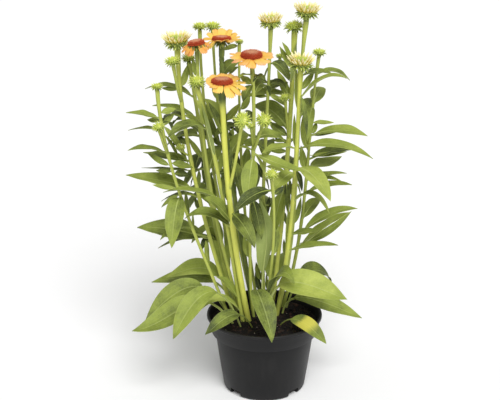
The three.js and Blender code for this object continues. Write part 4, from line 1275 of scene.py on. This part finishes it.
class CONEFLOWER_OT_compost(bpy.types.Operator):
    """Fills the pot with compost and strews crumbs and pale specks on it"""

    bl_idname = "coneflower.compost"
    bl_label = "Compost"

    def execute(self, context):
        look = context.scene.coneflower_compost
        chance = random.Random(SEED)
        foot = [(0.0617, 0.0029), (0.0665, 0.0073), (0.08, 0.0993), (0.086, 0.1025)]
        profile = foot + [(look.radius, look.level)]
        rings = 34
        for ring in range(1, rings):
            share = 1 - ring / rings
            level = look.level + (look.crown - look.level) * (1 - share**2)
            profile.append((look.radius * share, level))
        bed = turned("compost_bed", 110, profile)
        top = bed.vertex_groups.new(name="top")
        for point in bed.data.vertices:
            if point.co.z >= look.level - CLOSE:
                edge = 1 - math.hypot(point.co.x, point.co.y) / look.radius
                top.add([point.index], ease(edge, 0, 0.06), "REPLACE")
        hold(bed)
        for name, scale, strength in (("lumps", 0.016, 0.006), ("grit", 0.004, 0.0028)):
            pattern = bpy.data.textures.new(name, "CLOUDS")
            pattern.noise_scale = scale
            pattern.noise_depth = 3
            lift = bed.modifiers.new(name, "DISPLACE")
            lift.texture = pattern
            lift.direction = "Z"
            lift.vertex_group = "top"
            lift.strength = strength
            lift.mid_level = 0.6
            bpy.ops.object.modifier_apply(modifier=lift.name)
        dress(bed, 60, finish_of(compost_bed, look))
        enter(bed, "compost", "compost")

        crumbs = []
        for number in range(3):
            clear()
            bpy.ops.mesh.primitive_ico_sphere_add(subdivisions=2, radius=1)
            crumb = new_piece(f"crumb_{number}")
            with editing(crumb):
                bpy.ops.mesh.select_all(action="SELECT")
                bpy.ops.transform.vertex_random(offset=0.3, seed=number + 1)
            dress(crumb, 40, finish_of(compost_crumbs, look))
            crumbs.append(crumb)
        context.view_layer.update()

        def strewn(number, least, most, flat):
            """Crumbs as copies over the bed, from the least to the most radius."""
            copies = []
            while len(copies) < number:
                reach = look.radius * 0.97 * math.sqrt(chance.random())
                heading = chance.uniform(0, math.tau)
                above = (reach * math.cos(heading), reach * math.sin(heading), look.crown + 0.1)
                found, place, _, _ = bed.ray_cast(above, (0, 0, -1))
                if not found:
                    continue
                large = least + (most - least) * chance.random() ** 3
                spin = chance.uniform(0, math.tau)
                turn = Matrix.Rotation(spin, 4, (chance.gauss(0, 1), chance.gauss(0, 1), 1))
                broad = large * chance.uniform(0.5, 1)
                shape = Matrix.Diagonal((large, broad, large * chance.uniform(*flat), 1))
                rest = Matrix.Translation(place + UP * large * 0.3)
                blank = chance.choice(crumbs)
                copies.append((blank, rest @ turn @ shape, chance.uniform(0, 1), 0.0))
            return copies

        loose = cluster("loose_crumbs", strewn(look.crumbs, 0.0008, 0.0036, (0.3, 0.8)))
        enter(loose, "compost", "compost")
        for crumb in crumbs:
            crumb.data.materials[0] = finish_of(mineral_specks, look)
        specks = cluster("pale_specks", strewn(look.specks, 0.0006, 0.0013, (0.6, 1)))
        enter(specks, "compost", "compost")
        discard(*crumbs)
        return {"FINISHED"}


class CONEFLOWER_OT_stems(bpy.types.Operator):
    """Grows the stems and their twigs"""

    bl_idname = "coneflower.stems"
    bl_label = "Stems"

    def execute(self, context):
        look = context.scene.coneflower_stems
        steps, sides = 72, 14
        blank = rod("stem_blank", sides, steps, lambda x: 1)
        with editing(blank):
            side = math.tau / sides
            pick(blank, lambda place: round(math.atan2(place.z, place.y) / side - 0.001) % 2)
            groove = 1 - look.rib
            bpy.ops.transform.resize(value=(1, groove, groove), center_override=(0, 0, 0))
        dress(blank, 60, finish_of(stem_skin, look))
        for number, (*levels, foot, tip, swell, tone, top_tone) in enumerate(STEMS, 1):
            rise = (levels[-1][2] - FOOT_LEVEL) / 1000
            grown = [row for row in (*STEM_LEAVES, *TWIGS) if row[0] == number]
            nodes = [(row[1] - FOOT_LEVEL) / 1000 / rise for row in grown]

            def girth(x):
                """The radius: a node swells where a leaf or a twig leaves, and so does the foot."""
                wide = (foot + (tip - foot) * x + swell * ease(x, 1 - 0.05 / rise, 1)) / 1000
                off = ((x - node) * rise / 0.005 for node in nodes)
                wide += 0.0004 * sum(math.exp(-(away**2)) for away in off)
                return wide * (1 + 0.12 * (1 - ease(x, 0, 0.06)))

            stalk = copied(blank, f"stalk_{number}")
            thin(stalk, steps, girth)
            places = [point.co.x for point in stalk.data.vertices]
            mark(stalk, [tone + (top_tone - tone) * ease(x, 0.92, 0.955) for x in places])
            bend(stalk, stem_path(number))
            parts = [stalk]
            for twig in twigs_of(number):
                part = copied(blank, "twig")
                thick = twig[-1] / 1000
                thin(part, steps, lambda x: thick * (1.15 - 0.15 * x) + 0.0008 * ease(x, 0.7, 1))
                mark(part, tone * 0.8)
                bend(part, twig_path(twig))
                parts.append(part)
            enter(joined(f"stalk_{number}", *parts), "stem", f"stem_{number}")
        discard(blank)
        return {"FINISHED"}


def leaf_blank(look, chance, stalk, wide, thickness):
    """A flat leaf with its stalk, veins and waved edges, to copy and bend."""
    stalk_finish = finish_of(leaf_stalk, look)
    places = [stalk * column / STALK_COLUMNS for column in range(STALK_COLUMNS)]
    blades = LEAF_COLUMNS - STALK_COLUMNS
    places += [stalk + (1 - stalk) * column / blades for column in range(blades + 1)]

    def width(x):
        share = (x - stalk) / (1 - stalk)
        return max(lance(share, 0.7, 1.05), wide * (1 - ease(x, stalk, 0.97)))

    def rise(y):
        nearest = min(abs(abs(y) - vein) for vein in VEIN_PLACES)
        return look.fold * abs(y) ** 1.3 - (look.vein if nearest < 0.02 else 0)

    start, waves = chance.uniform(0, math.tau), chance.uniform(1.4, 2.6)

    def wave(x, y):
        reach = 1 if abs(y) > 0.9 else 0.4
        beat = math.sin(x * waves * math.tau + start + (0 if y > 0 else 2.1))
        beat += 0.3 * math.sin(x * waves * 1.6 * math.tau + start * 2 + (1 if y > 0 else 0))
        return look.ripple * reach * beat * ease(x, stalk, stalk + 0.2)

    leaf = blade("leaf_blank", places, LEAF_ROWS, width, rise, wave)
    leaf.data.materials.append(finish_of(leaf_face, look, "leaf_upper_side", False))
    leaf.data.materials.append(finish_of(leaf_face, look, "leaf_lower_side", True))
    leaf.data.materials.append(stalk_finish)
    thicken(leaf, thickness, 1)

    def stalk_girth(x):
        return wide * (0.55 if x > 0 else 0.3) * (1.15 - 1.05 * ease(x, 0.1, 1))

    rib = rod("rib", 8, 16, stalk_girth)
    rib.data.materials.append(stalk_finish)
    rib.data.transform(Matrix.Translation((0, 0, -wide * 0.38)))
    leaf = joined(leaf.name, leaf, rib)
    smooth(leaf, 62)
    return leaf


class CONEFLOWER_OT_stem_leaves(bpy.types.Operator):
    """Sets the leaves along the stems"""

    bl_idname = "coneflower.stem_leaves"
    bl_label = "Stem leaves"

    def execute(self, context):
        look = context.scene.coneflower_leaves
        chance = random.Random(SEED + 1)
        shapes = random.Random(SEED)
        blanks = [leaf_blank(look, shapes, STEM_STALK_SHARE, 0.11, 0.026) for _ in range(3)]
        grown = Counter()
        names = []
        for number, *_ in STEM_LEAVES:
            grown[number] += 1
            names.append(f"stalk_{number}_leaf_{grown[number]}")
        names += [f"inner_leaf_{index}" for index in range(1, len(INNER_LEAVES) + 1)]
        for name, leaf in zip(names, (*STEM_LEAVES, *INNER_LEAVES)):
            number, height, tip, lift, wide, roll, *tone = leaf
            base, tip = stem_point(number, height), spot(*tip)
            curl = chance.uniform(0, 0.025) * (tip - base).length
            wide *= look.breadth / 1000
            leaf = copied(chance.choice(blanks), name, (1, wide, wide))
            mark(leaf, *tone or [chance.uniform(0.2, 0.6)])
            path = arched(base, tip, lift / 1000, curl)
            bend(leaf, path, roll + chance.uniform(-5, 5), chance.uniform(-22, 22))
            enter(leaf, "leaf", f"stem_{number}")
        discard(*blanks)
        return {"FINISHED"}


class CONEFLOWER_OT_basal_leaves(bpy.types.Operator):
    """Sets the broad leaves that rise from the crown"""

    bl_idname = "coneflower.basal_leaves"
    bl_label = "Basal leaves"

    def execute(self, context):
        look = context.scene.coneflower_leaves
        chance = random.Random(SEED + 2)
        for number, (foot, *stops, wide, roll, tone, ageing) in enumerate(BASAL_LEAVES, 1):
            path = through(spot(*foot, LEAF_FOOT_LEVEL), *(spot(*stop) for stop in stops))
            blank = leaf_blank(look, chance, length_share(path, 1 / 3), 0.075, 0.014)
            leaf = copied(blank, f"basal_leaf_blade_{number}", (1, wide / 1000, wide / 1000))
            mark(leaf, tone, ageing)
            bend(leaf, path, roll, chance.uniform(-14, 14))
            enter(leaf, "leaf", f"basal_leaf_{number}")
            discard(blank)
        return {"FINISHED"}


class CONEFLOWER_OT_open_flowers(bpy.types.Operator):
    """Makes the open flowers with their petals, cones and bracts"""

    bl_idname = "coneflower.open_flowers"
    bl_label = "Open flowers"

    def execute(self, context):
        look = context.scene.coneflower_flowers
        chance = random.Random(SEED + 3)
        cone_finish = finish_of(cone_spines, look)
        green = finish_of(green_scales, context.scene.coneflower_greens)
        thorn = spine("cone_spine", cone_finish)
        bract = scale_blade("open_bract", green)
        petal = self.petal(look)
        for number, flower in enumerate(FLOWERS, 1):
            name = f"flower_{number}"
            sizes = (flower[key] / 1000 for key in ("cone", "dome", "raise", "petal", "wide"))
            cone, dome, lifted, long, wide = sizes
            place = seat(flower["lean"], flower["stem"], None, lifted)
            start, level = cone - 0.005, 0.00084
            copies = []
            for heading, rise, *shorter in flower["rays"]:
                rise /= 1000
                length = long * (shorter[0] if shorter else 1) * chance.uniform(0.95, 1.05)
                reach = start + math.sqrt(length**2 - rise**2)
                base, tip = Vector((start, 0, level)), Vector((reach, 0, level + rise))
                path = arched(base, tip, 0.0015 - 0.3 * rise, chance.uniform(0, 0.002))
                broad = wide * chance.uniform(1.15, 1.35)
                roll, twist = chance.uniform(-12, 12), chance.uniform(-20, 20)
                turn = turn_to(heading + chance.uniform(-3, 3))
                tone = flower["tone"] + chance.uniform(-0.2, 0.2)
                blush = flower["blush"] * chance.uniform(0.5, 1.4)
                copies.append((bent(petal, broad, path, roll, twist), place @ turn, tone, blush))
            enter(cluster(name + "_petals", copies), "ray", name + "_rays")

            low = 0.0022
            crown = [
                (0, low + dome * 0.9), (cone * 0.5, low + dome), (cone * 0.78, low + dome * 0.8),
                (cone * 0.88, low + dome * 0.3), (cone * 0.84, low - 0.0012),
            ]
            core = middle(name + "_core", 40, inwards(crown), cone_finish, place, 0.3)
            sites = sown(crown, look.spines)
            # The spines' tone falls from the middle of the cone outwards, which paints its
            # highlight.
            copies = stood(thorn, sites, place, 0.0026, 0.0017, (1.1, 0.1), chance)
            whole = joined(name + "_spines", cluster("spines", copies), core)
            enter(whole, "cone", name + "_cone")

            profile = (
                (0.004, -0.008 - lifted), (0.0048, -0.0045), (0.0076, -0.0015),
                (cone * 0.72, 0.0008), (cone * 0.5, 0.0016),
            )
            neck = middle(name + "_neck", 28, profile, green, place, 0.15)
            rows = (
                (14, 0.0042, (0.0055, -0.0002), (0.0168, -0.003), 0.0036, 0.25),
                (13, 0.004, (0.0045, -0.002), (0.0145, -0.0074), 0.003, 0.35),
                (9, 0.0036, (0.0038, -0.0036), (0.0095, -0.011), 0.0016, 0.4),
            )
            copies = bract_rows(bract, rows, place, chance)
            leafy = joined(name + "_bracts", cluster("bracts", copies), neck)
            enter(leafy, "bud", f"stem_{flower['stem']}")
        discard(thorn, bract, petal)
        return {"FINISHED"}

    def petal(self, look):
        """A flat petal with two grooves along it and notches in its end, to copy and bend."""
        steps = 16
        last = 1 - 1.5 / steps
        places = [step / steps for step in range(steps + 1)]

        def width(x):
            return max(lance(x * 0.9 + 0.06, 0.5, 0.3), 0.3)

        def rise(y):
            return -0.1 * y * y - (0.05 if 0.3 < abs(y) < 0.5 else 0)

        petal = blade("petal_blank", places, 10, width, rise)
        with editing(petal):
            for across, cut in PETAL_NOTCHES:
                points = petal.data.vertices
                edge = max(point.co.y for point in points if point.co.x > 1 - CLOSE)
                for side in (-1, 1):
                    y = across * 2 * edge * side
                    pick(petal, lambda place: place.x > last and abs(place.y - y) < 0.02)
                    bpy.ops.transform.translate(value=(-cut, 0, 0))
        thicken(petal, 0.035)
        dress(petal, 60, finish_of(petal_face, look))
        return petal


class CONEFLOWER_OT_young_heads(bpy.types.Operator):
    """Makes the heads that are just opening"""

    bl_idname = "coneflower.young_heads"
    bl_label = "Young heads"

    def execute(self, context):
        look = context.scene.coneflower_greens
        chance = random.Random(SEED + 4)
        green = finish_of(green_scales, look)
        thorn = spine("young_spine", green)
        bract = scale_blade("young_bract", green, point=1.1)
        petal_finish = finish_of(young_petal, look)
        tongue = scale_blade("young_tongue", petal_finish, 0.35, 0.5, 12, 0.35, 0.12)
        for number, (stem, lean, radius, lifted, spread) in enumerate(YOUNG_HEADS, 1):
            radius, lifted = radius / 1000, lifted / 1000
            place = seat(lean, stem, None, lifted)
            name = f"young_head_{number}"
            profile = (
                (0.0042, -0.0055 - lifted), (0.005, -0.0028), (radius * 0.5, -0.0006),
                (radius * 0.78, 0.001), (radius * 0.84, 0.0035), (radius * 0.78, 0.006),
                (radius * 0.6, 0.0075),
            )
            core = middle(name + "_core", 32, profile, green, place, 0.35)
            outer, low, droop = radius * spread, -0.0046 * spread, -0.0026 * spread
            rows = (
                (13, 0.0034, (radius * 0.3, -0.001), (radius * 0.86, low), 0.003, 0.35),
                (15, 0.0034, (radius * 0.55, 0.0004), (outer * 1.16, droop), 0.003, 0.45),
                (16, 0.0032, (radius * 0.7, 0.0022), (outer * 1.24, 0.0014), 0.0022, 0.5),
                (16, 0.003, (radius * 0.76, 0.004), (radius * 1.14, 0.007), -0.0008, 0.55),
            )
            copies = bract_rows(bract, rows, place, chance)
            enter(joined(name + "_bracts", cluster("bracts", copies), core), "bud", name + "_cup")

            rows = (
                (19, 0.0034, (radius * 0.78, 0.0048), (radius * 1.5, 0.0158), -0.0022, 0.6),
                (16, 0.0034, (radius * 0.7, 0.0055), (radius * 1.22, 0.0178), -0.0016, 0.5),
                (12, 0.0032, (radius * 0.6, 0.006), (radius * 0.92, 0.0175), -0.0008, 0.35),
            )
            petals = cluster(name + "_petals", bract_rows(tongue, rows, place, chance))
            enter(petals, "young_ray", name + "_rays")

            heights = ((0, 0.0115), (0.45, 0.011), (0.7, 0.0085), (0.76, 0.0058))
            crown = [(radius * out, height) for out, height in heights]
            dome = middle(name + "_dome", 28, inwards(crown), green, place, 0.6)
            sites = sown(crown, YOUNG_SPINES)
            copies = stood(thorn, sites, place, 0.0042, 0.0019, (0.75, 0.95), chance)
            whole = joined(name + "_middle", cluster("spines", copies), dome)
            enter(whole, "young_ray", name + "_rays")
        discard(thorn, bract, tongue)
        return {"FINISHED"}


class CONEFLOWER_OT_buds(bpy.types.Operator):
    """Makes the green buds and the small side buds"""

    bl_idname = "coneflower.buds"
    bl_label = "Buds"

    def execute(self, context):
        look = context.scene.coneflower_greens
        self.chance = random.Random(SEED + 5)
        self.green = finish_of(green_scales, look)
        self.thorn = spine("bud_spine", self.green, 0.42)
        self.bract = scale_blade("bud_bract", self.green, point=1.1)
        for number, (stem, lean, radius, *twig) in enumerate((*BUDS, *SIDE_BUDS), 1):
            name, node, spines = f"spiny_bud_{number}", f"bud_{number}", look.spines
            if number > len(BUDS):
                name, node = f"side_bud_{number - len(BUDS)}", f"stem_{stem}"
                spines //= 2
            bud = self.bud(name, seat(lean, stem, *twig), radius / 1000, spines)
            enter(bud, "bud", node)
        discard(self.thorn, self.bract)
        return {"FINISHED"}

    def bud(self, name, place, radius, spines):
        """A green dome of spines over rings of spreading bracts."""

        # The dome and the rings are given as shares of the radius.
        shares = ((0, 0.66), (0.35, 0.62), (0.55, 0.44), (0.58, 0.2))
        crown = [(radius * out, radius * up) for out, up in shares]
        profile = [(0.0021, -0.0055), (0.0028, -0.003), (radius * 0.36, 0.0002), *inwards(crown)]
        core = middle(name + "_core", 24, profile, self.green, place, 0.6)
        inset = (0.002 / radius, -0.001 / radius)
        rings = (
            (10, 1.1, inset, (0.85, -0.22), 0.3, 0.3),
            (14, 1, (0.35, 0), (1.12, 0.08), 0.26, 0.45),
            (15, 0.85, (0.5, 0.2), (1.18, 0.42), 0.06, 0.6),
            (13, 0.8, (0.5, 0.36), (0.98, 0.82), -0.08, 0.75),
        )
        wide = 0.0012 + radius * 0.11
        rows = [
            (many, wide * broad, Vector(foot) * radius, Vector(tip) * radius, lift * radius, tone)
            for many, broad, foot, tip, lift, tone in rings
        ]
        copies = bract_rows(self.bract, rows, place, self.chance)
        sizes = (radius * 0.3, radius * 0.15)
        copies += stood(self.thorn, sown(crown, spines), place, *sizes, (1.2, 0.8), self.chance)
        return joined(name, cluster(name + "_scales", copies), core)


STEPS = (
    CONEFLOWER_OT_studio,
    CONEFLOWER_OT_pot,
    CONEFLOWER_OT_compost,
    CONEFLOWER_OT_stems,
    CONEFLOWER_OT_stem_leaves,
    CONEFLOWER_OT_basal_leaves,
    CONEFLOWER_OT_open_flowers,
    CONEFLOWER_OT_young_heads,
    CONEFLOWER_OT_buds,
)


class CONEFLOWER_PT_steps(bpy.types.Panel):
    """The steps that make the plant, in order, and their settings"""

    bl_idname = "CONEFLOWER_PT_steps"
    bl_label = "Coneflower"
    bl_space_type = "VIEW_3D"
    bl_region_type = "UI"
    bl_category = "Coneflower"

    def draw(self, context):
        for step in STEPS:
            self.layout.operator(step.bl_idname)
        for name, group in SETTINGS.items():
            box = self.layout.box()
            box.label(text=group.__doc__)
            for setting in group.__annotations__:
                box.prop(getattr(context.scene, name), setting)


CLASSES = (*SETTINGS.values(), *STEPS, CONEFLOWER_PT_steps)


def register():
    for kind in CLASSES:
        bpy.utils.register_class(kind)
    for name, group in SETTINGS.items():
        setattr(bpy.types.Scene, name, bpy.props.PointerProperty(type=group))


def unregister():
    for name in SETTINGS:
        delattr(bpy.types.Scene, name)
    for kind in reversed(CLASSES):
        bpy.utils.unregister_class(kind)


def main():
    register()
    bpy.ops.coneflower.studio()
    bpy.ops.coneflower.pot()
    bpy.ops.coneflower.compost()
    bpy.ops.coneflower.stems()
    bpy.ops.coneflower.stem_leaves()
    bpy.ops.coneflower.basal_leaves()
    bpy.ops.coneflower.open_flowers()
    bpy.ops.coneflower.young_heads()
    bpy.ops.coneflower.buds()
    discard(guide_curve())


if __name__ == "__main__":
    main()
